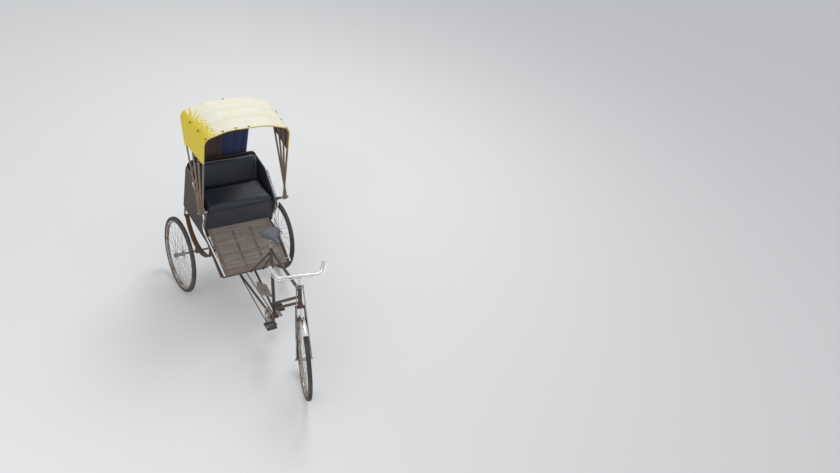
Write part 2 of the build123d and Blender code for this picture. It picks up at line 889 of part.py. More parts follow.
# The floor slopes down to the front, and its plane has the front edge as origin and runs up the slope
floor_front = body_point(0, -floor_front_ahead, floor_front_height)
floor_back = body_point(0, -floor_back_ahead, floor_back_height)
slope = floor_back - floor_front
floor_length = slope.length
floor_top = Plane(origin=floor_front, x_dir=(1, 0, 0), z_dir=Vector(1, 0, 0).cross(slope))
inner_half = floor_half_width - floor_border_width
plank_first = floor_front_border + plank_gap
plank_depth = (floor_length - plank_first + plank_gap) / plank_rows - plank_gap

with BuildPart() as floor_planks:
    with BuildSketch(floor_top) as planks:
        for row in range(plank_rows):
            low = plank_first + row * (plank_depth + plank_gap)
            with Locations((0, low + plank_depth / 2)):
                Rectangle(2 * inner_half - 2 * plank_gap, plank_depth)
    extrude(planks.sketch, amount=-plank_thickness)
pieces["floor_planks"] = floor_planks

with BuildPart() as floor_border:
    with BuildSketch(floor_top) as border:
        with Locations((0, floor_front_border / 2)):
            Rectangle(2 * floor_half_width, floor_front_border)
        for side in (1, -1):
            with Locations((side * (floor_half_width - floor_border_width / 2), floor_length / 2)):
                Rectangle(floor_border_width, floor_length)
    extrude(border.sketch, amount=-plank_thickness)
pieces["floor_border"] = floor_border

with BuildPart() as floor_battens:
    with BuildSketch(floor_top) as battens:
        for side in (1, -1):
            with Locations((side * batten_offset, (plank_first + floor_length - batten_end_gap) / 2)):
                Rectangle(batten_width, floor_length - batten_end_gap - plank_first)
    extrude(battens.sketch, amount=batten_height)
pieces["floor_battens"] = floor_battens

# Chassis of square tube: side members under the floor's slope and level below the box, tied across
member_x = box_half_width - panel_thickness - chassis_tube / 2
frame_top = floor_top.offset(-plank_thickness)
box_front_y = rear_axle_y - box_front_ahead
box_rear_y = rear_axle_y + box_rear_behind
with BuildPart() as chassis_frame:
    front_mid = frame_top.from_local_coords(Vector(0, chassis_tube / 2, -chassis_tube / 2))
    back_mid = frame_top.from_local_coords(Vector(0, floor_length, -chassis_tube / 2))
    level_z = box_bottom - chassis_tube / 2
    reach = (level_z - front_mid.Z) / slope.Z
    bend_y = front_mid.Y + reach * slope.Y
    for side in (1, -1):
        bend = Vector(side * member_x, bend_y, level_z)
        start = Vector(side * member_x, front_mid.Y, front_mid.Z)
        with BuildLine() as route:
            Polyline(tuple(start), tuple(bend), (side * member_x, box_rear_y, level_z))
        with BuildSketch(Plane(origin=start, x_dir=(1, 0, 0), z_dir=bend - start)) as tube:
            Rectangle(chassis_tube, chassis_tube)
        sweep(tube.sketch, path=route.line, transition=Transition.RIGHT)
    for place in (front_mid, Vector(0, box_front_y, level_z), Vector(0, box_rear_y - chassis_tube, level_z)):
        with Locations(Plane(origin=place, x_dir=(1, 0, 0), z_dir=floor_top.z_dir if place is front_mid else (0, 0, 1))):
            Box(2 * member_x, chassis_tube, chassis_tube)
pieces["chassis_frame"] = chassis_frame

# Struts tie the seat lug to the front cross member, their ends coped to fit
with BuildPart() as frame_struts:
    for side in (1, -1):
        top = seat_lug - seat_line * strut_top_drop
        top = top + Vector(side * (frame_tube_radius + strut_radius - strut_weld), 0, 0)
        foot = Vector(side * strut_spread, floor_front.Y - strut_foot_ahead, front_mid.Z)
        rod(top, foot, strut_radius)
    add(bike_frame.part, mode=Mode.SUBTRACT)
    add(chassis_frame.part, mode=Mode.SUBTRACT)
pieces["frame_struts"] = frame_struts

# Lower stays run back from the bottom bracket to bearing eyes on the rear axle
with BuildPart() as lower_stays:
    for side in (1, -1):
        eye = axle_point + Vector(side * lower_stay_spread_rear, 0, 0)
        start = bracket + Vector(side * lower_stay_spread_front, bracket_shell_radius * 0.7, 0)
        rod(start, eye - Vector(0, rear_axle_radius, 0), lower_stay_radius)
        rod(
            eye - Vector(stay_eye_half, 0, 0),
            eye + Vector(stay_eye_half, 0, 0),
            rear_axle_radius + stay_eye_wall,
        )
    rod(
        axle_point - Vector(lower_stay_spread_rear + stay_eye_half + 1, 0, 0),
        axle_point + Vector(lower_stay_spread_rear + stay_eye_half + 1, 0, 0),
        rear_axle_radius + bearing_clearance,
        mode=Mode.SUBTRACT,
    )
    add(bike_frame.part, mode=Mode.SUBTRACT)
pieces["lower_stays"] = lower_stays

# Axle blocks under the springs
block_top = wheel_radius + bearing_block_radius
with BuildPart() as axle_blocks:
    for side in (1, -1):
        block = Plane(origin=axle_point + Vector(side * spring_centre_x, 0, 0), x_dir=(0, 1, 0), z_dir=(1, 0, 0))
        with BuildSketch(block) as section:
            Circle(bearing_block_radius)
            with Locations((0, bearing_block_radius / 2)):
                Rectangle(2 * bearing_block_radius, bearing_block_radius)
            Circle(rear_axle_radius + bearing_clearance, mode=Mode.SUBTRACT)
        extrude(section.sketch, amount=bearing_block_width / 2, both=True)
pieces["axle_blocks"] = axle_blocks

# Leaf springs: each leaf is an arc, the longest one on top with rolled eyes
spring_radius = (spring_half_span**2 + spring_rise**2) / 2 / spring_rise
stack = leaf_count * leaf_thickness
eye_turn = atan2(spring_half_span, spring_radius - spring_rise)
spring_centre_z = block_top + stack + spring_radius
eye_z = spring_centre_z - (spring_radius - leaf_eye_radius) * cos(eye_turn)
eye_offset = (spring_radius - leaf_eye_radius) * sin(eye_turn)
for name, side in (("left", 1), ("right", -1)):
    with BuildPart() as spring:
        centre = Vector(side * spring_centre_x, rear_axle_y, spring_centre_z)
        arc_plane = Plane(origin=centre, x_dir=(0, 0, -1), z_dir=(1, 0, 0))
        with BuildSketch(arc_plane) as leaves:
            for leaf in range(leaf_count):
                inside = spring_radius + leaf * leaf_thickness
                half_turn = degrees(eye_turn) * (1 - leaf * leaf_shortening)
                with BuildSketch(mode=Mode.PRIVATE) as one:
                    with BuildLine():
                        CenterArc((0, 0), inside, -half_turn, 2 * half_turn)
                        CenterArc((0, 0), inside + leaf_thickness, -half_turn, 2 * half_turn)
                        for end in (-half_turn, half_turn):
                            Line(
                                Vector(inside, 0).rotate(Axis.Z, end),
                                Vector(inside + leaf_thickness, 0).rotate(Axis.Z, end),
                            )
                    make_face()
                add(one.sketch)
            for end in (-1, 1):
                with Locations(Vector(spring_radius - leaf_eye_radius + leaf_thickness, 0).rotate(
                    Axis.Z, end * degrees(eye_turn)
                )):
                    Circle(leaf_eye_radius)
        extrude(leaves.sketch, amount=leaf_width / 2, both=True)
        for end in (-1, 1):
            pin = arc_plane.from_local_coords(
                Vector(spring_radius - leaf_eye_radius + leaf_thickness, 0).rotate(
                    Axis.Z, end * degrees(eye_turn)
                )
            )
            rod(
                pin - Vector(leaf_width, 0, 0),
                pin + Vector(leaf_width, 0, 0),
                hanger_pin_radius,
                mode=Mode.SUBTRACT,
            )
    pieces[f"leaf_spring_{name}"] = spring

# Hangers hold the spring eyes under the side members
with BuildPart() as spring_hangers:
    for side in (1, -1):
        for end in (-1, 1):
            reach = spring_radius - leaf_eye_radius + leaf_thickness
            pin_y = rear_axle_y + end * reach * sin(eye_turn)
            pin_z = spring_centre_z - reach * cos(eye_turn)
            pin = Vector(side * spring_centre_x, pin_y, pin_z)
            member_z = min(level_z, front_mid.Z + (pin_y - front_mid.Y) * slope.Z / slope.Y)
            for face in (-1, 1):
                face_offset = leaf_width / 2 + hanger_thickness / 2 + face_clearance
                plate_x = side * spring_centre_x + face * face_offset
                plate = Plane(origin=(plate_x, pin_y, pin_z), x_dir=(0, 1, 0), z_dir=(1, 0, 0))
                with BuildSketch(plate) as section:
                    Circle(hanger_half)
                    with Locations((0, (member_z - pin_z) / 2)):
                        Rectangle(2 * hanger_half, member_z - pin_z)
                extrude(section.sketch, amount=hanger_thickness / 2, both=True)
            half = leaf_width / 2 + hanger_thickness + face_clearance
            rod(pin - Vector(half, 0, 0), pin + Vector(half, 0, 0), hanger_pin_radius)
    add(chassis_frame.part, mode=Mode.SUBTRACT)
pieces["spring_hangers"] = spring_hangers

# Passenger box: bottom, front, sides, seat board and an upright rear panel behind the leaning back
panel_half = box_half_width - panel_thickness
lean = radians(back_angle)
cushion_back = cushion_depth - cushion_front_ahead
back_face = Plane(
    origin=body_point(0, cushion_back, seat_board_height),
    x_dir=(1, 0, 0),
    z_dir=(0, -cos(lean), sin(lean)),
)
rear_panel_behind = cushion_back + back_height * sin(lean) + back_thickness * cos(lean) + soft_clearance
rear_panel_y = rear_axle_y + rear_panel_behind
with BuildPart() as rear_panel:
    with BuildSketch(Plane(origin=(0, rear_panel_y, 0), x_dir=(1, 0, 0), z_dir=(0, -1, 0))) as section:
        with Locations((0, (box_bottom + rear_panel_height) / 2)):
            Rectangle(2 * panel_half, rear_panel_height - box_bottom)
        fillet(section.vertices().group_by(Axis.Z)[-1], back_corner)
    extrude(section.sketch, amount=-rear_panel_thickness)
pieces["rear_panel"] = rear_panel

with BuildPart() as box_floor:
    with Locations((0, (box_front_y + rear_panel_y) / 2, box_bottom + panel_thickness / 2)):
        Box(2 * panel_half, rear_panel_y - box_front_y, panel_thickness)
pieces["box_floor"] = box_floor

front_panel_low = box_bottom + panel_thickness
front_panel_high = seat_board_height - panel_thickness
with BuildPart() as front_panel:
    with BuildSketch(Plane(origin=(0, box_front_y, 0), x_dir=(1, 0, 0), z_dir=(0, -1, 0))) as section:
        with Locations((0, (front_panel_low + front_panel_high) / 2)):
            Rectangle(2 * panel_half, front_panel_high - front_panel_low)
    extrude(section.sketch, amount=-panel_thickness)
pieces["front_panel"] = front_panel

board_back_y = rear_axle_y + cushion_back - seat_board_gap
with BuildPart() as seat_board:
    with Locations((0, (box_front_y + board_back_y) / 2, seat_board_height - panel_thickness / 2)):
        Box(2 * panel_half, board_back_y - box_front_y, panel_thickness)
pieces["seat_board"] = seat_board

rail_centre_x = box_half_width + rail_box_gap
rail_front_ahead = cushion_front_ahead + rail_past_cushion
rail_front_height = seat_board_height + rail_over_board
rail_arm_height = rail_front_height + rail_arm_rise
rail_top_height = rail_arm_height + rail_top_rise
rail_knee_height = floor_back_height + rail_over_floor_back
rail_points = [
    # across, behind the rear axle, up
    (rail_centre_x, rail_top_behind, rail_top_height),
    (rail_centre_x, rail_arm_behind, rail_arm_height),
    (rail_centre_x, -rail_front_ahead, rail_front_height),
    (box_half_width + rail_knee_gap, -box_front_ahead - rail_past_box, rail_knee_height),
    (
        floor_half_width + rail_floor_gap,
        -floor_front_ahead - rail_past_floor,
        floor_front_height + rail_over_floor_front,
    ),
]
rail_bends = [rail_arm_bend, rail_front_bend, rail_knee_bend]
panel_back = rear_panel_behind + rear_panel_thickness
for name, side in (("left", 1), ("right", -1)):
    with BuildPart() as side_panel:
        with BuildSketch(Plane(origin=(side * panel_half, rear_axle_y, 0), x_dir=(0, 1, 0), z_dir=(1, 0, 0))) as section:
            with BuildLine():
                Polyline(
                    (-box_front_ahead, box_bottom),
                    (panel_back, box_bottom),
                    (panel_back, side_panel_height),
                    (rail_top_behind + panel_past_rail, rail_top_height + panel_past_rail),
                    (panel_behind_rail - rail_front_ahead, rail_front_height + panel_over_rail),
                    (-box_front_ahead, rail_knee_height + panel_over_knee),
                    close=True,
                )
            make_face()
            fillet(section.vertices(), side_panel_round)
        extrude(section.sketch, amount=side * panel_thickness)
    pieces[f"side_panel_{name}"] = side_panel

with BuildPart() as seat_cushion:
    with BuildSketch(Plane.XY.offset(seat_board_height + soft_clearance)) as section:
        with Locations((0, rear_axle_y - cushion_front_ahead + (cushion_depth - soft_clearance) / 2)):
            Rectangle(2 * cushion_half_width, cushion_depth - soft_clearance)
    extrude(section.sketch, amount=cushion_height)
    fillet(seat_cushion.edges().group_by(Axis.Z)[-1].sort_by(Axis.Y)[0], cushion_round)
pieces["seat_cushion"] = seat_cushion

with BuildPart() as seat_back:
    with BuildSketch(back_face) as section:
        with Locations((0, (back_height + soft_clearance) / 2)):
            Rectangle(2 * cushion_half_width, back_height - soft_clearance)
        fillet(section.vertices().group_by(Axis.Z)[-1], back_corner)
    extrude(section.sketch, amount=-back_thickness)
pieces["seat_back"] = seat_back

# Chromed rails along the box sides and the floor's edges
for name, side in (("left", 1), ("right", -1)):
    with BuildPart() as rail:
        route = bent_rod([body_point(side * x, y, z) for x, y, z in rail_points], rail_bends, rail_radius)
        for place in rail_lug_places:
            seat = route @ place
            rod((side * box_half_width, seat.Y, seat.Z), seat, rail_lug_radius)
        seat = route @ rail_foot_place
        on_floor = floor_top.to_local_coords(seat)
        across = side * (floor_half_width - rail_foot_inset)
        bent_rod(
            [
                floor_top.from_local_coords(Vector(across, on_floor.Y, -plank_thickness / 2)),
                floor_top.from_local_coords(Vector(on_floor.X, on_floor.Y, -plank_thickness / 2)),
                seat,
            ],
            [rail_foot_bend],
            rail_lug_radius,
        )
        add(floor_border.part, mode=Mode.SUBTRACT)
    pieces[f"rail_{name}"] = rail

# Hood: four bent slats fan from one pivot on each side and nest when they fold back
hood_pivot = body_point(0, -hood_pivot_ahead, hood_pivot_height)
bows = [
    # name, lean back in degrees, radius at the crown
    ("hood_bow_front", front_bow_angle, front_bow_radius),
    ("hood_bow_second", second_bow_angle, second_bow_radius),
    ("hood_bow_third", third_bow_angle, third_bow_radius),
    ("hood_bow_rear", rear_bow_angle, rear_bow_radius),
]


def bow_plane(angle):
    turn = radians(angle)
    return Plane(origin=hood_pivot, x_dir=(1, 0, 0), z_dir=(0, -cos(turn), sin(turn)))


# Half the arch from the foot of the leg over the corner to the crown, as a full symmetric route
def arch_points(leg_x, radius, foot, outward):
    half = leg_x + outward
    return [
        (-half, foot),
        (-half, radius + outward - bow_crown_drop),
        (-half * bow_shoulder, radius + outward),
        (half * bow_shoulder, radius + outward),
        (half, radius + outward - bow_crown_drop),
        (half, foot),
    ]


def arch_bends(outward):
    return [bow_corner + outward, bow_shoulder_bend, bow_shoulder_bend, bow_corner + outward]


for order, (name, angle, radius) in enumerate(bows):
    leg_x = front_bow_x + order * (bow_thickness + bow_gap)
    with BuildPart() as bow:
        with BuildSketch(bow_plane(angle)) as band:
            for outward, mode in ((bow_thickness / 2, Mode.ADD), (-bow_thickness / 2, Mode.SUBTRACT)):
                with BuildSketch(mode=Mode.PRIVATE) as arch:
                    with BuildLine():
                        points = arch_points(leg_x, radius, -bow_foot, outward)
                        FilletPolyline(*points, radius=arch_bends(outward))
                        Line(points[-1], points[0])
                    make_face()
                add(arch.sketch, mode=mode)
        extrude(band.sketch, amount=bow_width / 2, both=True)
        rod(
            hood_pivot - Vector(leg_x + bow_thickness, 0, 0),
            hood_pivot + Vector(leg_x + bow_thickness, 0, 0),
            hood_pin_radius + bearing_clearance,
            mode=Mode.SUBTRACT,
        )
    pieces[name] = bow

# Pivot brackets stand on the side panels and carry the hood pins
pin_end = front_bow_x + len(bows) * (bow_thickness + bow_gap)
for name, side in (("left", 1), ("right", -1)):
    with BuildPart() as hood_bracket:
        bracket_plane = Plane(
            origin=(side * box_half_width, hood_pivot.Y, hood_pivot.Z), x_dir=(0, 1, 0), z_dir=(1, 0, 0)
        )
        with BuildSketch(bracket_plane) as plate:
            with BuildLine():
                Polyline(
                    (-hood_bracket_half, 0),
                    (hood_bracket_reach - hood_bracket_half, -hood_bracket_drop),
                    (hood_bracket_reach + hood_bracket_half * 2, -hood_bracket_drop + 10),
                    (hood_bracket_half, 4),
                    close=True,
                )
            make_face()
            Circle(hood_bracket_half)
        extrude(plate.sketch, amount=side * hood_bracket_thickness)
        pin = Plane(origin=bracket_plane.origin, z_dir=(side, 0, 0))
        with BuildSketch(pin) as section:
            Circle(hood_pin_radius)
        extrude(section.sketch, amount=pin_end - box_half_width + 4)
        with BuildSketch(pin) as section:
            Circle(hood_bracket_half)
        extrude(section.sketch, amount=front_bow_x - bow_thickness / 2 - box_half_width - bow_gap)
        with BuildSketch(pin.offset(pin_end - box_half_width - bow_thickness / 2 + 1)) as section:
            RegularPolygon(11, 6)
        extrude(section.sketch, amount=7)
    pieces[f"hood_bracket_{name}"] = hood_bracket

# Hood cloth: a thin skin ruled over the four slats, with its side hems level above the seat
def hood_solid(outward):
    with BuildPart() as skin:
        for order, (name, angle, radius) in enumerate(bows):
            leg_x = front_bow_x + order * (bow_thickness + bow_gap)
            hem = (sheet_hem_height - hood_pivot_height) / cos(radians(angle))
            with BuildSketch(bow_plane(angle)):
                with BuildLine():
                    points = arch_points(leg_x, radius, hem, outward)
                    FilletPolyline(*points, radius=arch_bends(outward))
                    Line(points[-1], points[0])
                make_face()
        loft(ruled=True)
    return skin.part


with BuildPart() as hood_sheet:
    add(hood_solid(sheet_gap + sheet_thickness))
    add(hood_solid(sheet_gap), mode=Mode.SUBTRACT)
pieces["hood_sheet"] = hood_sheet

# Two cloth strips hang from the underside of the rear slat, behind the seat
rear_turn = radians(rear_bow_angle)
curtain_y = hood_pivot.Y + rear_bow_radius * sin(rear_turn) - curtain_ahead
slat_inside = rear_bow_radius - bow_thickness / 2


# Height of the rear slat's underside above a curtain, at a distance inside its crown
def slat_underside(drop):
    in_plane = slat_inside - drop - (curtain_y - hood_pivot.Y) * sin(rear_turn)
    return hood_pivot.Z + in_plane / cos(rear_turn) - curtain_top_gap


rear_bow_half = front_bow_x + (len(bows) - 1) * (bow_thickness + bow_gap)
shoulder_x = rear_bow_half * bow_shoulder
shoulder_fall = bow_crown_drop / (rear_bow_half - shoulder_x)
level_x = shoulder_x - bow_shoulder_bend * tan(atan(shoulder_fall) / 2)
for name, side in (("blue", 1), ("maroon", -1)):
    with BuildPart() as curtain:
        with BuildSketch(Plane(origin=(0, curtain_y, 0), x_dir=(1, 0, 0), z_dir=(0, -1, 0))) as section:
            inner = side * curtain_gap / 2
            outer = inner + side * curtain_width
            with BuildLine():
                Polyline(
                    (inner, curtain_bottom),
                    (inner, slat_underside(0)),
                    (side * level_x, slat_underside(0)),
                    (outer, slat_underside((abs(outer) - shoulder_x) * shoulder_fall)),
                    (outer, curtain_bottom),
                    close=True,
                )
            make_face()
        extrude(section.sketch, amount=curtain_thickness / 2, both=True)
    pieces[f"curtain_{name}"] = curtain

# Flat splash plate above the chain, coped to the seat tube and cut away around the pedal's path
with BuildPart() as chain_cover:
    with BuildSketch(Plane(origin=bracket + Vector(0, 0, chain_cover_rise))) as section:
        with BuildLine():
            Polyline(
                (-chain_cover_taper, chain_cover_start),
                (chain_cover_left, chain_cover_length - chain_cover_skew),
                (-chain_cover_right + 2 * chain_cover_taper, chain_cover_length),
                (-chain_cover_right, chain_cover_start + 3 * chain_cover_slant),
                (-chain_cover_right, chain_cover_start + chain_cover_slant),
                close=True,
            )
        make_face()
    extrude(section.sketch, amount=chain_cover_thickness)
    add(bike_frame.part, mode=Mode.SUBTRACT)
pieces["chain_cover"] = chain_cover

# Pedals: a block of two treads on a pin
for name, side in (("left", 1), ("right", -1)):
    centre = bracket + crank_way * -side * crank_length
    face_x = side * (crank_offset - 5 + crank_thickness)
    with BuildPart() as pedal:
        rod(
            centre + Vector(side * (crank_offset - 5), 0, 0),
            centre + Vector(face_x + side * (pedal_width + pedal_gap), 0, 0),
            pedal_pin_radius - bearing_clearance,
        )
        with Locations(centre + Vector(face_x + side * (pedal_width / 2 + pedal_gap), 0, 0)):
            for offset in (-1, 1):
                with Locations((0, offset * (pedal_length - pedal_height) / 2, 0)):
                    Box(pedal_width, pedal_height, pedal_height)
            for end in (-1, 1):
                with Locations((end * (pedal_width / 2 - pedal_plate), 0, 0)):
                    Box(2 * pedal_plate, pedal_length - pedal_height, pedal_height * 0.7)
    pieces[f"pedal_{name}"] = pedal

os.makedirs("parts", exist_ok=True)
for name, piece in pieces.items():
    piece.part.label = name
    export_step(piece.part, f"parts/{name}.step")
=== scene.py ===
# Cycle rickshaw: looks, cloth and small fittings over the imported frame
import math
import random

import bmesh
import bpy
from mathutils import Matrix, Vector, noise
from mathutils.bvhtree import BVHTree


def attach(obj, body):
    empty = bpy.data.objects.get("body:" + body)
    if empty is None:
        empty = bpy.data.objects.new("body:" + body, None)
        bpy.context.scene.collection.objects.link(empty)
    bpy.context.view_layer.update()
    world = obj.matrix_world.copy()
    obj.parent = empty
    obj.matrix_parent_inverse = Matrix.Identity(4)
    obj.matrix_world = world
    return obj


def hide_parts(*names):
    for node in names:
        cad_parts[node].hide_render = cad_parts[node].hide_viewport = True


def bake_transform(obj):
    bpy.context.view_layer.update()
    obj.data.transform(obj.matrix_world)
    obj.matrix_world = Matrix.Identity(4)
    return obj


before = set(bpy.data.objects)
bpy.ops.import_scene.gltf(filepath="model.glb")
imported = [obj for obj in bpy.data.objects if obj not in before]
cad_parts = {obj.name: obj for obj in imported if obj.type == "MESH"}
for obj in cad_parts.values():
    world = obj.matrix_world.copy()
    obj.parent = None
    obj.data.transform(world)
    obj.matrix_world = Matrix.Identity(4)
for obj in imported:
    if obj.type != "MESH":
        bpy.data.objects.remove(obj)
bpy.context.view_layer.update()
random.seed(7)
print("frame loaded")


# shader arithmetic: a number socket that takes part in plain expressions
class Number:
    def __init__(self, finish, socket):
        self.finish = finish
        self.socket = socket

    def combine(self, operation, first, second):
        return self.finish.node("ShaderNodeMath", {"operation": operation}, {0: first, 1: second})

    def __add__(self, other):
        return self.combine("ADD", self, other)

    def __radd__(self, other):
        return self.combine("ADD", other, self)

    def __sub__(self, other):
        return self.combine("SUBTRACT", self, other)

    def __rsub__(self, other):
        return self.combine("SUBTRACT", other, self)

    def __mul__(self, other):
        return self.combine("MULTIPLY", self, other)

    def __rmul__(self, other):
        return self.combine("MULTIPLY", other, self)

    def clamped(self):
        return self.finish.node("ShaderNodeClamp", {}, {"Value": self})


class Finish:
    def __init__(self, name):
        self.material = bpy.data.materials.new(name)
        self.material.use_nodes = True
        self.tree = self.material.node_tree
        self.tree.nodes.clear()
        self.here = self.node("ShaderNodeTexCoord", {}, {}, "Object")

    def fill(self, socket, value):
        # a link, a colour or a plain value
        if isinstance(value, Number):
            self.tree.links.new(value.socket, socket)
        elif socket.type == "RGBA":
            socket.default_value = (*value, 1)
        else:
            socket.default_value = value

    def node(self, kind, settings, inputs, output=0):
        made = self.tree.nodes.new(kind)
        for name, value in settings.items():
            if name == "stops":
                ramp = made.color_ramp
                while len(ramp.elements) < len(value):
                    ramp.elements.new(0.5)
                for element, (place, tone) in zip(ramp.elements, value):
                    element.position = place
                    element.color = (*tone, 1)
            else:
                setattr(made, name, value)
        for name, value in inputs.items():
            self.fill(made.inputs[name], value)
        return Number(self, made.outputs[output])

    def attribute(self, name):
        return self.node("ShaderNodeAttribute", {"attribute_name": name}, {}, "Fac")

    def cloudy(self, scale, detail, rough, stretch=None):
        spot = self.here
        if stretch:
            spot = self.node("ShaderNodeMapping", {}, {"Vector": spot, "Scale": stretch})
        links = {"Vector": spot, "Scale": scale, "Detail": detail, "Roughness": rough}
        return self.node("ShaderNodeTexNoise", {}, links, "Fac")

    def worn(self, value, share, below=0.05, above=0.05):
        # 1 where wear has broken through, over about the given share of the surface
        links = {"Value": value, "From Min": 1 - share - below, "From Max": 1 - share + above}
        return self.node("ShaderNodeMapRange", {"interpolation_type": "SMOOTHSTEP"}, links)

    def threads(self, scale, distortion):
        # warp and weft along the cloth's own UV map
        laid = self.node("ShaderNodeUVMap", {"uv_map": "cloth"}, {}, "UV")
        links = {"Vector": laid, "Scale": scale, "Distortion": distortion}
        return [self.node("ShaderNodeTexWave", {"bands_direction": way}, links) for way in "XY"]

    def ramp(self, factor, stops):
        return self.node("ShaderNodeValToRGB", {"stops": stops}, {"Fac": factor})

    def mixed(self, factor, low, high):
        made = self.tree.nodes.new("ShaderNodeMix")
        made.data_type = "RGBA"
        for name, value in (("Factor", factor), ("A", low), ("B", high)):
            self.fill([s for s in made.inputs if s.name == name and s.enabled][0], value)
        return Number(self, [s for s in made.outputs if s.enabled][0])

    def bump(self, height, strength, distance):
        links = {"Strength": strength, "Distance": distance, "Height": height}
        return self.node("ShaderNodeBump", {}, links)

    def surface(self, **sockets):
        made = self.tree.nodes.new("ShaderNodeBsdfPrincipled")
        for name, value in sockets.items():
            self.fill(made.inputs[name.replace("_", " ")], value)
        end = self.tree.nodes.new("ShaderNodeOutputMaterial")
        self.tree.links.new(made.outputs[0], end.inputs["Surface"])
        return self.material


def turnAt(place, across, along, up):
    # a matrix whose X, Y and Z run along three directions
    return Matrix.Translation(place) @ Matrix((across, along, up)).transposed().to_4x4()


def linked(name, data):
    made = bpy.data.objects.new(name, data)
    bpy.context.scene.collection.objects.link(made)
    return made


def meshOf(name, work):
    mesh = bpy.data.meshes.new(name)
    work.to_mesh(mesh)
    work.free()
    return mesh


# camera at the photograph's place, floor and plain light
camera = {
    "place": (-2.785, -4.713, 5.503), "right": (0.8128, -0.5411, 0.2161),
    "up": (0.2005, 0.6080, 0.7682), "lens": 35.107, "sensor": 36,
}
cameraData = bpy.data.cameras.new("photoCamera")
cameraData.lens = camera["lens"]
cameraData.sensor_width = camera["sensor"]
cameraObject = linked("photoCamera", cameraData)
rightWay = Vector(camera["right"]).normalized()
upWay = Vector(camera["up"])
upWay = (upWay - rightWay * upWay.dot(rightWay)).normalized()
cameraObject.matrix_world = turnAt(camera["place"], rightWay, upWay, rightWay.cross(upWay))
bpy.context.scene.camera = cameraObject

studio = {
    "floorHalf": 30, "floorTone": (0.90, 0.90, 0.89), "floorRough": 0.9,
    "worldTone": (0.94, 0.96, 1.0), "worldStrength": 0.58, "backdropStrength": 0.80,
}
work = bmesh.new()
bmesh.ops.create_grid(work, x_segments=2, y_segments=2, size=studio["floorHalf"])
studioFloor = linked("studioFloor", meshOf("studioFloor", work))
studioFloor.data.materials.append(
    Finish("studioFloor").surface(Base_Color=studio["floorTone"], Roughness=studio["floorRough"])
)

world = bpy.data.worlds.new("studioLight")
bpy.context.scene.world = world
world.use_nodes = True
worldNodes = world.node_tree.nodes
worldLinks = world.node_tree.links
background = worldNodes["Background"]
background.inputs["Color"].default_value = (*studio["worldTone"], 1)
# the camera, gloss and glass see a paler backdrop than the one that lights the object
rays = worldNodes.new("ShaderNodeLightPath")
seen = rays.outputs["Is Camera Ray"]
for kind in ("Is Glossy Ray", "Is Transmission Ray"):
    either = worldNodes.new("ShaderNodeMath")
    either.operation = "MAXIMUM"
    worldLinks.new(seen, either.inputs[0])
    worldLinks.new(rays.outputs[kind], either.inputs[1])
    seen = either.outputs[0]
strength = worldNodes.new("ShaderNodeMapRange")
strength.inputs["To Min"].default_value = studio["worldStrength"]
strength.inputs["To Max"].default_value = studio["backdropStrength"]
worldLinks.new(seen, strength.inputs["Value"])
worldLinks.new(strength.outputs[0], background.inputs["Strength"])
lamps = [
    # name, place, aim, size, watts
    ("keyLamp", (2.5, 3.2, 6.0), (0, 0, 0.8), 2.4, 120),
    ("fillLamp", (-5.0, -3.0, 4.5), (0, 0, 0.6), 4.0, 110),
]
for name, place, aim, size, watts in lamps:
    lampData = bpy.data.lights.new(name, "AREA")
    lampData.size = size
    lampData.energy = watts
    lamp = linked(name, lampData)
    lamp.location = place
    lamp.rotation_euler = (Vector(aim) - Vector(place)).to_track_quat("-Z", "Y").to_euler()
bpy.context.scene.view_settings.view_transform = "Standard"
print("camera, floor and light")


# finishes
roadDust = (0.20, 0.17, 0.14)
chromeHaze = (0.52, 0.50, 0.46)
chromeRust = (0.17, 0.085, 0.045)
rubbedWood = (0.42, 0.38, 0.34)


def paintedTube(name, tone, rustTone, rustShare, rough=0.38):
    finish = Finish(name)
    patches = finish.cloudy(14, 5, 0.65)
    flecks = finish.cloudy(90, 4, 0.7)
    rust = finish.worn(patches * 0.65 + flecks * 0.35, rustShare, below=0.06)
    dust = finish.cloudy(5, 4, 0.6)
    grain = finish.cloudy(320, 3, 0.6)
    return finish.surface(
        Base_Color=finish.mixed(rust, finish.mixed(dust * 0.35, tone, roadDust), rustTone),
        Roughness=(rough + rust * 0.4 + dust * 0.12).clamped(),
        Metallic=0.0,
        Normal=finish.bump(flecks * rust * 1.5 + grain * 0.25, 0.35, 0.0012),
    )


def wornChrome(name, tone, rustShare, rough=0.16):
    finish = Finish(name)
    patches = finish.cloudy(22, 5, 0.7)
    pits = finish.cloudy(140, 3, 0.65)
    rust = finish.worn(patches * 0.6 + pits * 0.4, rustShare)
    haze = finish.cloudy(40, 4, 0.6)
    return finish.surface(
        Base_Color=finish.mixed(rust, finish.mixed(haze * 0.4, tone, chromeHaze), chromeRust),
        Metallic=1 - rust * 0.85,
        Roughness=(rough + haze * 0.14 + rust * 0.5).clamped(),
        Normal=finish.bump(pits * rust + haze * 0.15, 0.3, 0.0008),
    )


def boards(name, tone, darkTone, along, rough=0.78, wear=2.2):
    # along is the grain's axis: 0 across, 1 front to back, 2 up
    finish = Finish(name)
    stretch = [38.0, 38.0, 38.0]
    stretch[along] = 2.2
    grain = finish.cloudy(1.0, 6, 0.62, stretch)
    fine = finish.cloudy(1.0, 4, 0.6, [s * 4.5 for s in stretch])
    stain = finish.cloudy(6.5, 4, 0.6)
    rubbed = finish.cloudy(26, 5, 0.7)
    tones = finish.ramp(
        grain * 0.6 + fine * 0.4,
        [(0.30, darkTone), (0.50, tone), (0.70, [min(1, c * 1.35) for c in tone])],
    )
    tones = finish.mixed(stain * 0.65, tones, [c * 0.45 for c in tone])
    return finish.surface(
        Base_Color=finish.mixed((rubbed - 0.56).clamped() * wear, tones, rubbedWood),
        Roughness=(rough + fine * 0.18).clamped(),
        Normal=finish.bump(grain * 0.7 + fine * 0.6, 0.45, 0.0016),
    )


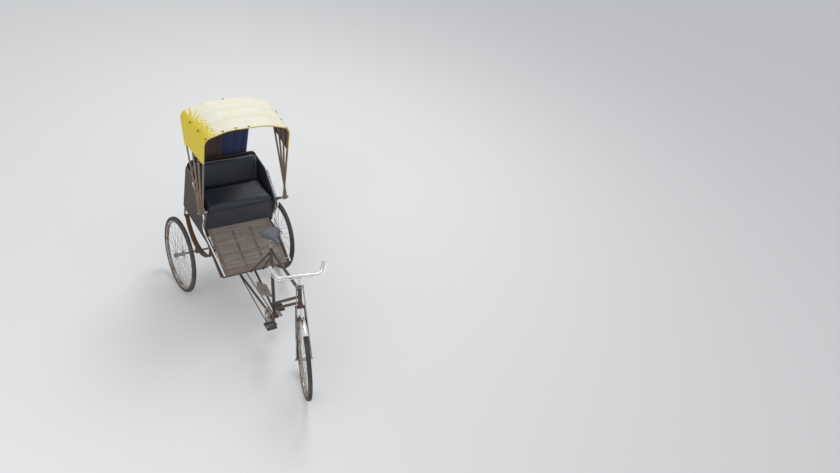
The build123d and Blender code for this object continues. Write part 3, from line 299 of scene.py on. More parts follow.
def dustyRubber(name, tone, dustTone):
    finish = Finish(name)
    dust = finish.cloudy(9, 5, 0.65)
    grit = finish.cloudy(160, 3, 0.6)
    share = (dust * 0.75 + grit * 0.25 - 0.30).clamped() * 1.4
    return finish.surface(
        Base_Color=finish.mixed(share, tone, dustTone),
        Roughness=0.86,
        Normal=finish.bump(grit, 0.3, 0.0008),
    )


def smoothVinyl(name, tone, paleTone, rough=0.34, scuff=0.4):
    finish = Finish(name)
    cells = {"Vector": finish.here, "Scale": 420.0}
    pores = finish.node("ShaderNodeTexVoronoi", {"feature": "F1"}, cells, "Distance")
    wide = finish.cloudy(7, 4, 0.6)
    scuffs = finish.cloudy(4.0, 6, 0.7, (3, 9, 9))
    pale = (scuffs - 0.5).clamped()
    return finish.surface(
        Base_Color=finish.mixed(pale * scuff * 3 + wide * 0.18, tone, paleTone),
        Roughness=(rough + wide * 0.22 + pale * 0.6).clamped(),
        Normal=finish.bump(pores * 0.5 + wide * 0.8, 0.28, 0.001),
        Specular_IOR_Level=0.5,
    )


def tarpaulin(name):
    # painted sunlight: the piece's own attribute says where the hood's top is painted pale, near
    # white, as if lit by the sun; the sides keep the saturated yellow
    finish = Finish(name)
    warp, weft = finish.threads(62.0, 0.4)
    wrinkle = finish.cloudy(34, 6, 0.62)
    patch = finish.cloudy(6, 4, 0.6)
    grime = finish.cloudy(19, 5, 0.7)
    deep = finish.mixed(patch * 0.6, (0.78, 0.63, 0.035), (0.66, 0.50, 0.03))
    # the pale tone is painted sunlight on the hood's top
    pale = finish.mixed((patch - 0.3).clamped(), (0.88, 0.86, 0.72), (0.86, 0.80, 0.50))
    tones = finish.mixed(finish.attribute("bleach"), deep, pale)
    return finish.surface(
        Base_Color=finish.mixed((grime - 0.56).clamped() * 1.3, tones, (0.46, 0.38, 0.20)),
        Roughness=(0.36 + grime * 0.22).clamped(),
        Normal=finish.bump(warp * 0.10 + weft * 0.10 + wrinkle * 0.9, 0.5, 0.003),
        Specular_IOR_Level=0.5,
    )


def wovenCloth(name, tone, paleTone, threads):
    finish = Finish(name)
    warp, weft = finish.threads(threads, 0.6)
    fade = finish.cloudy(5, 4, 0.6)
    slub = finish.cloudy(60, 3, 0.6)
    weave = warp * 0.5 + weft * 0.5
    share = (fade * 0.6 + slub * 0.2 + weave * 0.2 - 0.25).clamped() * 1.2
    return finish.surface(
        Base_Color=finish.mixed(share, tone, paleTone),
        Roughness=0.85,
        Normal=finish.bump(weave * 0.7 + slub * 0.5, 0.5, 0.0008),
        Sheen_Weight=0.15,
    )


finishTable = [
    # recipe, name, tone, rust's tone, rust's share, roughness
    (paintedTube, "framePaint", (0.030, 0.024, 0.022), (0.16, 0.065, 0.035), 0.42),
    (paintedTube, "chassisPaint", (0.022, 0.020, 0.020), (0.13, 0.06, 0.035), 0.45, 0.5),
    (paintedTube, "springSteel", (0.05, 0.042, 0.037), (0.17, 0.08, 0.045), 0.52, 0.5),
    (paintedTube, "floorStrips", (0.075, 0.070, 0.066), (0.24, 0.225, 0.21), 0.47, 0.26),
    (paintedTube, "plateSteel", (0.21, 0.185, 0.165), (0.16, 0.10, 0.07), 0.44, 0.5),
    # recipe, name, tone, rust's share, roughness
    (wornChrome, "chrome", (0.82, 0.82, 0.81), 0.29),
    (wornChrome, "railChrome", (0.86, 0.86, 0.85), 0.24, 0.20),
    (wornChrome, "rimChrome", (0.46, 0.44, 0.41), 0.49, 0.32),
    (wornChrome, "dullSteel", (0.36, 0.34, 0.32), 0.46, 0.38),
    (wornChrome, "spokeSteel", (0.42, 0.41, 0.39), 0.45, 0.32),
    # recipe, name, tone, dark tone, grain's axis, roughness, wear
    (boards, "plankWood", (0.310, 0.258, 0.222), (0.125, 0.098, 0.080), 0),
    (boards, "borderWood", (0.285, 0.215, 0.180), (0.115, 0.078, 0.062), 1),
    (boards, "panelWood", (0.075, 0.048, 0.036), (0.032, 0.021, 0.017), 0, 0.55, 0.7),
    (boards, "sideWood", (0.070, 0.046, 0.036), (0.030, 0.020, 0.016), 1, 0.55, 0.7),
    (boards, "slatWood", (0.27, 0.205, 0.145), (0.12, 0.085, 0.06), 2),
    # recipe, name, tone, dust's tone
    (dustyRubber, "tyreRubber", (0.026, 0.025, 0.024), (0.17, 0.155, 0.135)),
    (dustyRubber, "pedalRubber", (0.022, 0.022, 0.022), (0.15, 0.135, 0.12)),
    # recipe, name, tone, pale tone, roughness, scuffs
    (smoothVinyl, "panelVinyl", (0.030, 0.033, 0.043), (0.085, 0.088, 0.10), 0.42, 0.35),
    (smoothVinyl, "seatVinyl", (0.016, 0.019, 0.030), (0.060, 0.070, 0.095), 0.33, 0.3),
    (smoothVinyl, "pipingVinyl", (0.16, 0.17, 0.19), (0.30, 0.31, 0.33), 0.4),
    (smoothVinyl, "darkPiping", (0.035, 0.038, 0.046), (0.12, 0.13, 0.15), 0.36),
    (smoothVinyl, "saddleCover", (0.080, 0.088, 0.105), (0.16, 0.17, 0.19), 0.40),
    (smoothVinyl, "saddlePan", (0.065, 0.028, 0.026), (0.12, 0.07, 0.06), 0.5),
    (smoothVinyl, "tieCord", (0.050, 0.042, 0.036), (0.12, 0.10, 0.09), 0.8),
    (smoothVinyl, "gripPlastic", (0.66, 0.63, 0.57), (0.42, 0.38, 0.33), 0.32, 0.25),
    (tarpaulin, "hoodTarpaulin"),
    # recipe, name, tone, pale tone, threads
    # dark brown on the hood cloth's inner side
    (wovenCloth, "hoodLining", (0.045, 0.026, 0.020), (0.10, 0.062, 0.045), 180.0),
    (wovenCloth, "blueCloth", (0.018, 0.026, 0.095), (0.055, 0.066, 0.18), 220.0),
    (wovenCloth, "maroonCloth", (0.060, 0.026, 0.028), (0.13, 0.065, 0.06), 220.0),
]
finishes = {name: recipe(name, *rest) for recipe, name, *rest in finishTable}

finishNodes = {
    "tyreRubber": ["front_tyre", "rear_tyre_left", "rear_tyre_right"],
    "rimChrome": ["front_rim", "rear_rim_left", "rear_rim_right"],
    "spokeSteel": ["front_hub_spokes", "rear_hub_spokes_left", "rear_hub_spokes_right"],
    "framePaint": ["fork", "bike_frame", "frame_struts", "lower_stays"],
    "dullSteel": [
        "front_axle", "fork_stays", "seat_post", "cranks", "chainwheel", "rear_axle",
        "hood_bracket_left", "hood_bracket_right",
    ],
    "chrome": ["stem", "handlebar", "brake_levers", "front_mudguard"],
    "railChrome": ["rail_left", "rail_right"],
    "gripPlastic": ["grips"],
    "saddleCover": ["saddle"],
    "pedalRubber": ["pedal_left", "pedal_right"],
    "springSteel": ["chain", "axle_blocks", "leaf_spring_left", "leaf_spring_right"],
    "chassisPaint": ["chassis_frame", "spring_hangers"],
    "plateSteel": ["chain_cover"],
    "plankWood": ["floor_planks", "box_floor"],
    "borderWood": ["floor_border"],
    "floorStrips": ["floor_battens"],
    "panelWood": ["rear_panel"],
    "sideWood": ["side_panel_left", "side_panel_right"],
    "panelVinyl": ["front_panel", "seat_board"],
    "seatVinyl": ["seat_cushion", "seat_back"],
    "slatWood": ["hood_bow_front", "hood_bow_second", "hood_bow_third", "hood_bow_rear"],
}
for finishName, nodeNames in finishNodes.items():
    for nodeName in nodeNames:
        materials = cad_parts[nodeName].data.materials
        materials.clear()
        materials.append(finishes[finishName])
print("finishes on the frame")


# shared ways to make a piece
def shown(name, mesh, finishNames, body=None, smooth=True):
    for finishName in finishNames:
        mesh.materials.append(finishes[finishName])
    if smooth:
        for face in mesh.polygons:
            face.use_smooth = True
    piece = linked(name, mesh)
    if body:
        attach(piece, body)
    return piece


def keep(name, work, finishName, body, smooth=True):
    bmesh.ops.recalc_face_normals(work, faces=work.faces)
    return shown(name, meshOf(name, work), [finishName], body, smooth)


def applyModifiers(piece):
    bpy.context.view_layer.update()
    graph = bpy.context.evaluated_depsgraph_get()
    shaped = bpy.data.meshes.new_from_object(piece.evaluated_get(graph))
    old = piece.data
    piece.modifiers.clear()
    piece.data = shaped
    shaped.name = old.name
    bpy.data.meshes.remove(old)


def layCloth(name, net, pointOf, size, outward, finishNames, paintedLightOf=None):
    # a net of quads over the surface that pointOf gives, with a UV map in metres
    work = bmesh.new()
    bmesh.ops.create_grid(work, x_segments=net[0], y_segments=net[1], size=1)
    layer = work.loops.layers.uv.new("cloth")
    # an optional share of painted sunlight at each point, kept as an attribute
    shade = work.verts.layers.float.new("bleach") if paintedLightOf else None
    for face in work.faces:
        for loop in face.loops:
            spot = loop.vert.co
            loop[layer].uv = ((spot.x + 1) / 2 * size[0], (spot.y + 1) / 2 * size[1])
    for vert in work.verts:
        across = vert.co.x
        vert.co = pointOf((across + 1) / 2, (vert.co.y + 1) / 2)
        if paintedLightOf:
            vert[shade] = paintedLightOf(vert.co, across)
    work.normal_update()
    total = Vector((0, 0, 0))
    for face in work.faces:
        total += face.normal
    if total.dot(Vector(outward)) < 0:
        bmesh.ops.reverse_faces(work, faces=work.faces)
    return shown(name, meshOf(name, work), finishNames)


def thicken(piece, thickness, offset, innerSecond=False):
    # gives a net its wall; when asked, the wall's inner side takes the second finish
    wall = piece.modifiers.new("wall", "SOLIDIFY")
    wall.thickness = thickness
    wall.offset = offset
    if innerSecond:
        wall.material_offset = 1
        wall.material_offset_rim = 0


def tube(
    name, points, radius, finishName, body,
    closed=False, kind="NURBS", rounds=3, steps=6,
):
    # a round tube along a line of points, as a mesh
    line = bpy.data.curves.new(name + "Line", "CURVE")
    line.dimensions = "3D"
    line.bevel_depth = radius
    line.bevel_resolution = rounds
    line.use_fill_caps = not closed
    line.resolution_u = steps
    spline = line.splines.new(kind)
    spline.points.add(len(points) - 1)
    for spot, place in zip(spline.points, points):
        spot.co = (*place, 1)
    spline.use_cyclic_u = closed
    if kind == "NURBS":
        spline.order_u = 3
        spline.use_endpoint_u = not closed
    holder = linked(name + "Line", line)
    bpy.context.view_layer.update()
    mesh = bpy.data.meshes.new_from_object(holder)
    bpy.data.objects.remove(holder)
    mesh.name = name
    mesh.materials.clear()
    return shown(name, mesh, [finishName], body)


def joined(pieces, name):
    # the first piece takes up the others' meshes
    work = bmesh.new()
    for piece in pieces:
        work.from_mesh(piece.data)
    work.to_mesh(pieces[0].data)
    work.free()
    for piece in pieces[1:]:
        bpy.data.objects.remove(piece)
    pieces[0].name = name


def turnedTo(place, axis):
    # a matrix whose Z runs along axis
    up = Vector(axis).normalized()
    side = Vector((0, 0, 1)).cross(up)
    if side.length < 1e-4:
        side = Vector((1, 0, 0)).cross(up)
    side.normalize()
    return turnAt(place, side, up.cross(side), up)


def roundEdges(work, edges, radius, segments):
    return bmesh.ops.bevel(
        work, geom=edges, offset=radius, affect="EDGES", segments=segments, profile=0.5, material=-1
    )


def block(size, middle):
    work = bmesh.new()
    bmesh.ops.create_cube(work, size=1)
    bmesh.ops.scale(work, verts=work.verts, vec=size)
    bmesh.ops.translate(work, verts=work.verts, vec=middle)
    return work


def domeHead(work, place, axis, radius, height, segments=10):
    # a low rounded nail or screw head
    made = bmesh.ops.create_uvsphere(work, u_segments=segments, v_segments=6, radius=radius)
    low = [v for v in made["verts"] if v.co.z < -1e-6]
    bmesh.ops.delete(work, geom=low, context="VERTS")
    kept = [v for v in made["verts"] if v.is_valid]
    bmesh.ops.scale(work, verts=kept, vec=(1, 1, height / radius))
    bmesh.ops.transform(work, verts=kept, matrix=turnedTo(place, axis))


def cone(work, place, axis, low, high, length, segments=6):
    made = bmesh.ops.create_cone(
        work, cap_ends=True, segments=segments, radius1=low, radius2=high, depth=length
    )
    bmesh.ops.transform(work, verts=made["verts"], matrix=turnedTo(place, axis))
    return made["verts"]


# how a closed form is stuffed
stuffing = {"voxel": 0.006, "frames": 20}


def stuffed(piece, pad, settle):
    # remeshed, swollen by pressure within a limit, held in its space and smoothed
    voxels = piece.modifiers.new("voxels", "REMESH")
    voxels.mode = "VOXEL"
    voxels.voxel_size = stuffing["voxel"]
    applyModifiers(piece)
    before = [v.co.copy() for v in piece.data.vertices]
    swell = piece.modifiers.new("swell", "CLOTH")
    swell.settings.use_pressure = True
    swell.settings.uniform_pressure_force = pad["pressure"]
    swell.settings.effector_weights.gravity = 0
    swell.point_cache.frame_end = stuffing["frames"]
    for step in range(stuffing["frames"]):
        bpy.context.scene.frame_set(step + 1)
    applyModifiers(piece)
    bpy.context.scene.frame_set(1)
    for vert, start in zip(piece.data.vertices, before):
        move = vert.co - start
        if move.length > pad["limit"]:
            move *= pad["limit"] / move.length
        spot = settle(start + move)
        vert.co = [min(max(c, a), b) for c, a, b in zip(spot, pad["low"], pad["high"])]
    finer = piece.modifiers.new("finer", "SUBSURF")
    finer.levels = finer.render_levels = 1
    applyModifiers(piece)
    for face in piece.data.polygons:
        face.use_smooth = True


def seamOver(name, piece, points, radius, rise, finishName, closed=False):
    # piping that follows a stuffed piece's surface near the given points
    tree = BVHTree.FromPolygons(
        [v.co.copy() for v in piece.data.vertices],
        [list(f.vertices) for f in piece.data.polygons],
    )
    laid = []
    for place in points:
        spot, normal = tree.find_nearest(Vector(place))[:2]
        laid.append(spot + normal * rise)
    tube(name, laid, radius, finishName, "carriage", closed=closed, steps=3)


def roundedPath(corners, radius, gap=0.02, bends=5):
    # evenly spaced points along straight runs joined by round corners
    path = []
    for before, here, after in zip(corners, corners[1:], corners[2:]):
        before, here, after = Vector(before), Vector(here), Vector(after)
        inWay = (before - here).normalized()
        outWay = (after - here).normalized()
        cut = min(radius, (before - here).length * 0.49, (after - here).length * 0.49)
        for k in range(bends + 1):
            t = k / bends
            ahead = (1 - t) ** 2 * (here + inWay * cut) + t**2 * (here + outWay * cut)
            path.append(ahead + 2 * t * (1 - t) * here)
    path = [Vector(corners[0]), *path, Vector(corners[-1])]
    spaced = [path[0]]
    for low, high in zip(path, path[1:]):
        count = max(1, round((high - low).length / gap))
        for k in range(1, count + 1):
            spaced.append(low.lerp(high, k / count))
    return spaced


def wrinkles(spot, table):
    # small uneven heights: each row is a height and how fine it is
    return sum(height * noise.noise(spot * scale) for height, scale in table)


def crowned(spot, pad):
    # lifts a pad's face towards its middle
    if spot.z > pad["crownFrom"]:
        share = 1
        for place, middle, half in zip(spot.xy, pad["crownMiddle"], pad["crownHalf"]):
            share *= max(0, 1 - ((place - middle) / half) ** 2) ** pad["crownPower"]
        spot.z += pad["crown"] * share
        spot.z += wrinkles(spot, pad["wrinkles"])
    return spot


# hood cloth over the four slats: lengths in metres, shares of a gap or of half an arch
hood = {
    "pivot": (0, 0.562, 0.970),
    # angle and radius of each slat, from the front
    "bows": [(6.5, 0.765), (17.0, 0.797), (27.0, 0.853), (36.7, 0.936)],
    "legHalf": 0.389, "legStep": 0.009, "crownDrop": 0.062, "corner": 0.080, "cornerSteps": 24,
    "shoulder": 0.45, "softBend": 0.5, "softSteps": 12, "lift": 0.0066, "sideLift": 0.0050,
    "hemHeight": 1.450, "thickness": 0.0010, "across": 160, "between": 26, "frontLip": 0.10,
    "rearLip": 0.12, "rest": 0.10, "inside": (0, 0.75, 1.35), "blendArm": 0.49, "blendShare": 0.92,
}
# how the cloth hangs and creases on that shape
drape = {
    "sag": 0.011, "gather": 0.0042, "gatherAt": 0.66, "gatherReach": 0.13, "hemFrom": 0.72,
    "hemFlare": 0.012, "hemPower": 1.6,
    "crumple": [(0.0022, 22), (0.0012, 55)],
    "gapLength": 0.135, "halfLength": 0.95, "crease": 0.0032, "creases": 7, "creaseEnd": 2.2,
    "dimple": 0.022, "onSlat": 0.12, "leastOffset": -0.0003, "mostOnLegs": 0.0004, "legsFrom": 0.73,
    "legsTo": 0.80, "lastLeg": 2.9,
}
# order along the hood, across, pull inwards, reach of the creases: three ties on the front
# slat's crown, then one on each of three slats at both shoulders
hoodTies = [(-0.02, across, 0.003, 0.10) for across in (-0.365, -0.175, 0.015)]
for across, reach in ((-0.62, 0.17), (0.62, 0.14)):
    hoodTies += [(order, across, 0.004, reach) for order in (0.02, 1.0, 2.0)]
archCache = {}


def archOutline(halfWidth, radius, foot, steps):
    # half of the slat's outline from the hem to the crown, cut into even steps
    shoulder = radius - hood["crownDrop"]
    slope = math.atan2(hood["crownDrop"], halfWidth * (1 - hood["shoulder"]))
    bend = math.pi / 2 - slope
    inset = hood["corner"] * math.tan(bend / 2)
    path = [Vector((halfWidth, foot))]
    centre = Vector((halfWidth - hood["corner"], shoulder - inset))
    for i in range(hood["cornerSteps"] + 1):
        angle = bend * i / hood["cornerSteps"]
        path.append(centre + hood["corner"] * Vector((math.cos(angle), math.sin(angle))))
    reach = hood["softBend"] * math.tan(slope / 2)
    for i in range(hood["softSteps"] + 1):
        angle = slope * (1 - i / hood["softSteps"])
        across = halfWidth * hood["shoulder"] - reach + hood["softBend"] * math.sin(angle)
        path.append(Vector((across, radius - hood["softBend"] * (1 - math.cos(angle)))))
    path.append(Vector((0, radius)))
    lengths = [0]
    for low, high in zip(path, path[1:]):
        lengths.append(lengths[-1] + (high - low).length)
    result = []
    spot = 0
    for i in range(steps + 1):
        goal = lengths[-1] * i / steps
        while spot < len(path) - 2 and lengths[spot + 1] < goal:
            spot += 1
        share = (goal - lengths[spot]) / max(1e-9, lengths[spot + 1] - lengths[spot])
        result.append(path[spot].lerp(path[spot + 1], min(1, max(0, share))))
    return result


def hoodPoint(order, across):
    # order is 0 at the front slat and 3 at the rear one, across is -1 and 1 at the hems
    bows = hood["bows"]
    first = max(0, min(len(bows) - 2, math.floor(order)))
    share = order - first
    angle = math.radians(bows[first][0] + (bows[first + 1][0] - bows[first][0]) * share)
    # level over each slat's width
    climb = min(1, max(0, (share - hood["rest"]) / (1 - 2 * hood["rest"])))
    radius = bows[first][1] + (bows[first + 1][1] - bows[first][1]) * climb + hood["lift"]
    half = hood["legHalf"] + hood["legStep"] * order + hood["sideLift"]
    foot = (hood["hemHeight"] - hood["pivot"][2]) / math.cos(angle)
    steps = hood["across"] // 2
    key = round(order, 5)
    if key not in archCache:
        archCache[key] = archOutline(half, radius, foot, steps)
    outline = archCache[key]
    where = (1 - abs(across)) * steps
    low = min(steps - 1, int(where))
    spot = outline[low].lerp(outline[low + 1], where - low)
    side = 1 if across >= 0 else -1
    turned = Vector((side * spot.x, spot.y * math.sin(angle), spot.y * math.cos(angle)))
    return Vector(hood["pivot"]) + turned


def hoodNormal(order, across, step=0.01):
    alongHood = hoodPoint(order + step, across) - hoodPoint(order - step, across)
    ahead = min(1, across + step)
    behind = max(-1, across - step)
    acrossHood = hoodPoint(order, ahead) - hoodPoint(order, behind)
    normal = acrossHood.cross(alongHood).normalized()
    outward = hoodPoint(order, across) - Vector(hood["inside"])
    return normal if normal.dot(outward) > 0 else -normal


def clothOffset(order, across):
    # how far the cloth stands off its even lay
    share = order - math.floor(order) if 0 < order < 3 else 0
    base = hoodPoint(order, across)
    side = abs(across)
    # slack between slats, gathers at the shoulders, a loose hem, crumples
    slack = -drape["sag"] * math.sin(math.pi * share) * (0.55 + 0.45 * noise.noise(base * 5))
    shoulder = math.exp(-(((side - drape["gatherAt"]) / drape["gatherReach"]) ** 2))
    waves = math.sin(order * 17 + 3.1 * noise.noise(base * 3.2) + across * 9)
    gathers = drape["gather"] * shoulder * waves * (0.6 + 0.4 * noise.noise(base * 9))
    hem = max(0, (side - drape["hemFrom"]) / (1 - drape["hemFrom"])) ** drape["hemPower"]
    flare = drape["hemFlare"] * hem * (0.55 + 0.45 * math.sin(order * 7.3 + 1.2 * across))
    offset = slack + gathers + flare + wrinkles(base, drape["crumple"])
    # creases that run out from the ties, and the dimple under each
    for tieOrder, tieAcross, pull, reach in hoodTies:
        if (tieAcross >= 0) != (across >= 0) and abs(tieAcross) > 0.1:
            continue
        alongRun = (order - tieOrder) * drape["gapLength"]
        acrossRun = (across - tieAcross) * drape["halfLength"]
        far = math.hypot(alongRun, acrossRun)
        if far < reach * drape["creaseEnd"]:
            turn = math.atan2(acrossRun, alongRun)
            crease = drape["crease"] * math.sin(drape["creases"] * turn + tieOrder * 3)
            crease *= min(1, far / 0.02) * math.exp(-far / (0.6 * reach))
            offset += math.exp(-((far / reach) ** 2)) * crease
            offset -= pull * math.exp(-((far / drape["dimple"]) ** 2))
    if not drape["onSlat"] <= share <= 1 - drape["onSlat"]:
        offset = max(drape["leastOffset"], offset)
    if side > drape["legsFrom"] and order < drape["lastLeg"]:
        # room that the next slat's leg leaves when the hood folds
        clear = min(1, max(0, (share - drape["onSlat"]) / 0.2))
        room = clear * (1 - share) * hood["legStep"] * 0.9 + max(0, drape["legsTo"] - side) * 0.06
        offset = min(drape["mostOnLegs"] + room, offset)
    return offset


def clothPoint(order, across):
    return hoodPoint(order, across) + hoodNormal(order, across) * clothOffset(order, across)


# painted sunlight: where the hood's top is painted pale, as if lit by the sun, instead of the
# cloth's yellow
bleach = {
    "edge": 0.74, "fanEdge": 0.60, "fanDepth": 0.30, "fanReach": 0.26, "rays": 19, "soft": 0.045,
}


def clothPaintedSunlight(point, across):
    # 1 where sunlight is painted on the top, 0 on the sides
    side = abs(across)
    ragged = 0.03 * noise.noise(Vector((point.y * 30, side * 9, 3)))
    ragged += 0.02 * noise.noise(point * 60)
    edge = bleach["edge"]
    if across < 0:
        # painted shade: the yellow runs up in a fan of creases that start at the ties, where no
        # painted sunlight falls
        fan = 0
        for tieOrder, tieAcross, pull, reach in hoodTies:
            if tieAcross < -0.5:
                tie = hoodPoint(tieOrder, tieAcross)
                run = math.atan2(point.y - tie.y, point.x - tie.x)
                wave = math.sin(run * bleach["rays"] + tieOrder * 2 + 2 * noise.noise(point * 7))
                near = max(0, 1 - (point - tie).length / bleach["fanReach"])
                fan = max(fan, (0.5 + 0.5 * wave) ** 1.6 * near)
        edge = bleach["fanEdge"] - bleach["fanDepth"] * fan
    return min(1, max(0, (edge - side + ragged) / bleach["soft"]))


hoodSections = [
    # name, first and last order, body behind, body ahead
    ("hoodClothFront", -hood["frontLip"], 1, "hood_second", "hood_front"),
    ("hoodClothMiddle", 1, 2, "hood_third", "hood_second"),
    ("hoodClothRear", 2, 3 + hood["rearLip"], "hood_rear", "hood_third"),
]
archSpots = [hoodPoint(1.5, -1 + i / 40) for i in range(81)]
archLength = sum((a - b).length for a, b in zip(archSpots, archSpots[1:]))
for name, firstOrder, lastOrder, bodyBehind, bodyAhead in hoodSections:
    rows = round(hood["between"] * (lastOrder - firstOrder))
    places = [-1 + i / 10 for i in range(21)]
    spans = [(hoodPoint(lastOrder, a) - hoodPoint(firstOrder, a)).length for a in places]
    depth = sum(spans) / len(spans)

    def pointOf(u, v, first=firstOrder, last=lastOrder):
        return clothPoint(first + (last - first) * v, -1 + 2 * u)

    # the cloth's outer side carries painted sunlight on its top, and its inner side is dark brown
    piece = layCloth(
        name, (hood["across"], rows), pointOf, (archLength, depth), (0, 0, 1),
        ["hoodTarpaulin", "hoodLining"], clothPaintedSunlight,
    )
    thicken(piece, hood["thickness"], -1, innerSecond=True)
    applyModifiers(piece)
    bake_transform(piece)
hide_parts("hood_sheet")
print("hood cloth laid")

# two cloth strips behind the seat, hung from the rear slat, whose crown falls off sideways
curtain = {
    "top": 1.7140, "levelTo": 0.120, "fall": 0.185, "bottom": 1.1055, "back": 1.1176,
    "fold": 0.0052, "crumple": 0.003, "sway": 0.002, "thickness": 0.0014, "net": (60, 110),
    "height": 0.60,
}
curtainStrips = [
    # name, CAD node, finish, low x, high x, folds
    ("blueCurtain", "curtain_blue", "blueCloth", 0.0002, 0.2555, 3.0),
    ("maroonCurtain", "curtain_maroon", "maroonCloth", -0.2555, -0.0002, 4.0),
]
for name, node, finishName, lowX, highX, folds in curtainStrips:
    def hang(u, v, low=lowX, high=highX, folds=folds):
        x = low + (high - low) * u
        drop = 1 - v
        top = curtain["top"] - max(0, abs(x) - curtain["levelTo"]) * curtain["fall"]
        z = curtain["bottom"] + (top - curtain["bottom"]) * v
        z += curtain["sway"] * math.sin(u * 9) * drop
        drift = 1.3 * noise.noise(Vector((x * 6, z * 3, 1)))
        wave = math.sin(u * folds * 2 * math.pi + drift) * (0.35 + 0.65 * drop)
        crumple = curtain["crumple"] * noise.noise(Vector((x * 9, z * 5, 4)))
        return Vector((x, curtain["back"] + curtain["fold"] * wave + crumple, z))

    size = (highX - lowX, curtain["height"])
    piece = layCloth(name, curtain["net"], hang, size, (0, -1, 0), [finishName])
    thicken(piece, curtain["thickness"], 0)
    applyModifiers(piece)
    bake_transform(piece)
    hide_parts(node)
print("curtains hung")

# seat cushion, stuffed from a smaller start and piped
seat = {
    "low": (-0.3270, 0.6040, 0.8905), "high": (0.3270, 0.9405, 0.9600),
    "startLow": (-0.316, 0.616, 0.8925), "startHigh": (0.316, 0.932, 0.938), "round": 0.020,
    "limit": 0.014, "pressure": 4.0, "underside": 0.8945, "crown": 0.006, "crownFrom": 0.93,
    "crownMiddle": (0, 0.774), "crownHalf": (0.327, 0.168), "crownPower": 0.6,
    "wrinkles": [(0.0012, 9), (0.0006, 31)],
    "pipe": 0.0034, "pipeRise": 0.0008, "pipeFront": 0.609, "pipeBack": 0.938, "pipeCorner": 0.03,
    # name, height and half width of each line of piping
    "pipings": [("seatTopPiping", 0.9440, 0.322), ("seatLowPiping", 0.8985, 0.323)],
}
startLow, startHigh = Vector(seat["startLow"]), Vector(seat["startHigh"])
work = block(startHigh - startLow, (startHigh + startLow) / 2)
roundEdges(work, list(work.edges), seat["round"], 5)
seatPad = keep("seatPad", work, "seatVinyl", "carriage")


def settleSeat(spot):
    # flat where it rests on the board, crowned on top
    if spot.z < seat["underside"]:
        spot.z = seat["low"][2]
    return crowned(spot, seat)


stuffed(seatPad, seat, settleSeat)
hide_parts("seat_cushion")
for name, level, halfX in seat["pipings"]:
    corners = [
        (0, seat["pipeFront"], level),
        (halfX, seat["pipeFront"], level),
        (halfX, seat["pipeBack"], level),
        (-halfX, seat["pipeBack"], level),
        (-halfX, seat["pipeFront"], level),
        (0, seat["pipeFront"], level),
    ]
    ring = roundedPath(corners, seat["pipeCorner"])[:-1]
    seamOver(name, seatPad, ring, seat["pipe"], seat["pipeRise"], "darkPiping", closed=True)

# seat back, in its own leaning frame: X across, Y up the panel, Z forward
back = {
    "foot": (0, 0.942, 0.889), "lean": 15.0, "half": 0.316, "tall": 0.280, "thick": 0.050,
    "off": 0.004, "behind": 0.005, "corner": 0.055, "round": 0.016, "sharp": 1.0, "limit": 0.013,
    "pressure": 4.0, "low": (-0.3270, 0.9, 0.88), "high": (0.3270, 1.0745, 1.170), "crown": 0.010,
    "crownFrom": -0.02, "crownMiddle": (0, 0.14), "crownHalf": (0.327, 0.145), "crownPower": 0.7,
    "wrinkles": [(0.0014, 8)],
    "depths": (-0.0595, 0.0065), "heights": (0.0015, 0.2848), "pipe": 0.0045, "pipeRise": 0.0016,
    "pipeHalf": 0.321, "pipeLow": 0.012, "pipeHigh": 0.283, "pipeDepth": -0.006,
    "pipeCorner": 0.062,
}
lean = math.radians(back["lean"])
panelUp = (0, math.sin(lean), math.cos(lean))
panelOut = (0, -math.cos(lean), math.sin(lean))
backTurn = turnAt(back["foot"], (1, 0, 0), panelUp, panelOut)
backInside = backTurn.inverted()
work = block(
    (2 * back["half"], back["tall"], back["thick"]),
    (0, back["tall"] / 2 + back["off"], -back["thick"] / 2 - back["behind"]),
)
topCorners = [
    e for e in work.edges
    if all(v.co.y > back["tall"] / 2 for v in e.verts)
    and abs(e.verts[0].co.z - e.verts[1].co.z) > 0.01
]
roundEdges(work, topCorners, back["corner"], 8)
rimEdges = [e for e in work.edges if abs(e.calc_face_angle(0)) > back["sharp"]]
roundEdges(work, rimEdges, back["round"], 4)
bmesh.ops.transform(work, verts=work.verts, matrix=backTurn)
backPad = keep("backPad", work, "seatVinyl", "carriage")


def settleBack(spot):
    # crowned in front, close to the panel behind
    here = crowned(backInside @ spot, back)
    here.z = min(back["depths"][1], max(back["depths"][0], here.z))
    here.y = min(back["heights"][1], max(back["heights"][0], here.y))
    return backTurn @ here


stuffed(backPad, back, settleBack)
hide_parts("seat_back")
rim = roundedPath(
    [
        (-back["pipeHalf"], back["pipeLow"], back["pipeDepth"]),
        (-back["pipeHalf"], back["pipeHigh"], back["pipeDepth"]),
        (back["pipeHalf"], back["pipeHigh"], back["pipeDepth"]),
        (back["pipeHalf"], back["pipeLow"], back["pipeDepth"]),
    ],
    back["pipeCorner"],
)
rim = [backTurn @ spot for spot in rim]
seamOver("backPiping", backPad, rim, back["pipe"], back["pipeRise"], "pipingVinyl")
print("cushions stuffed")

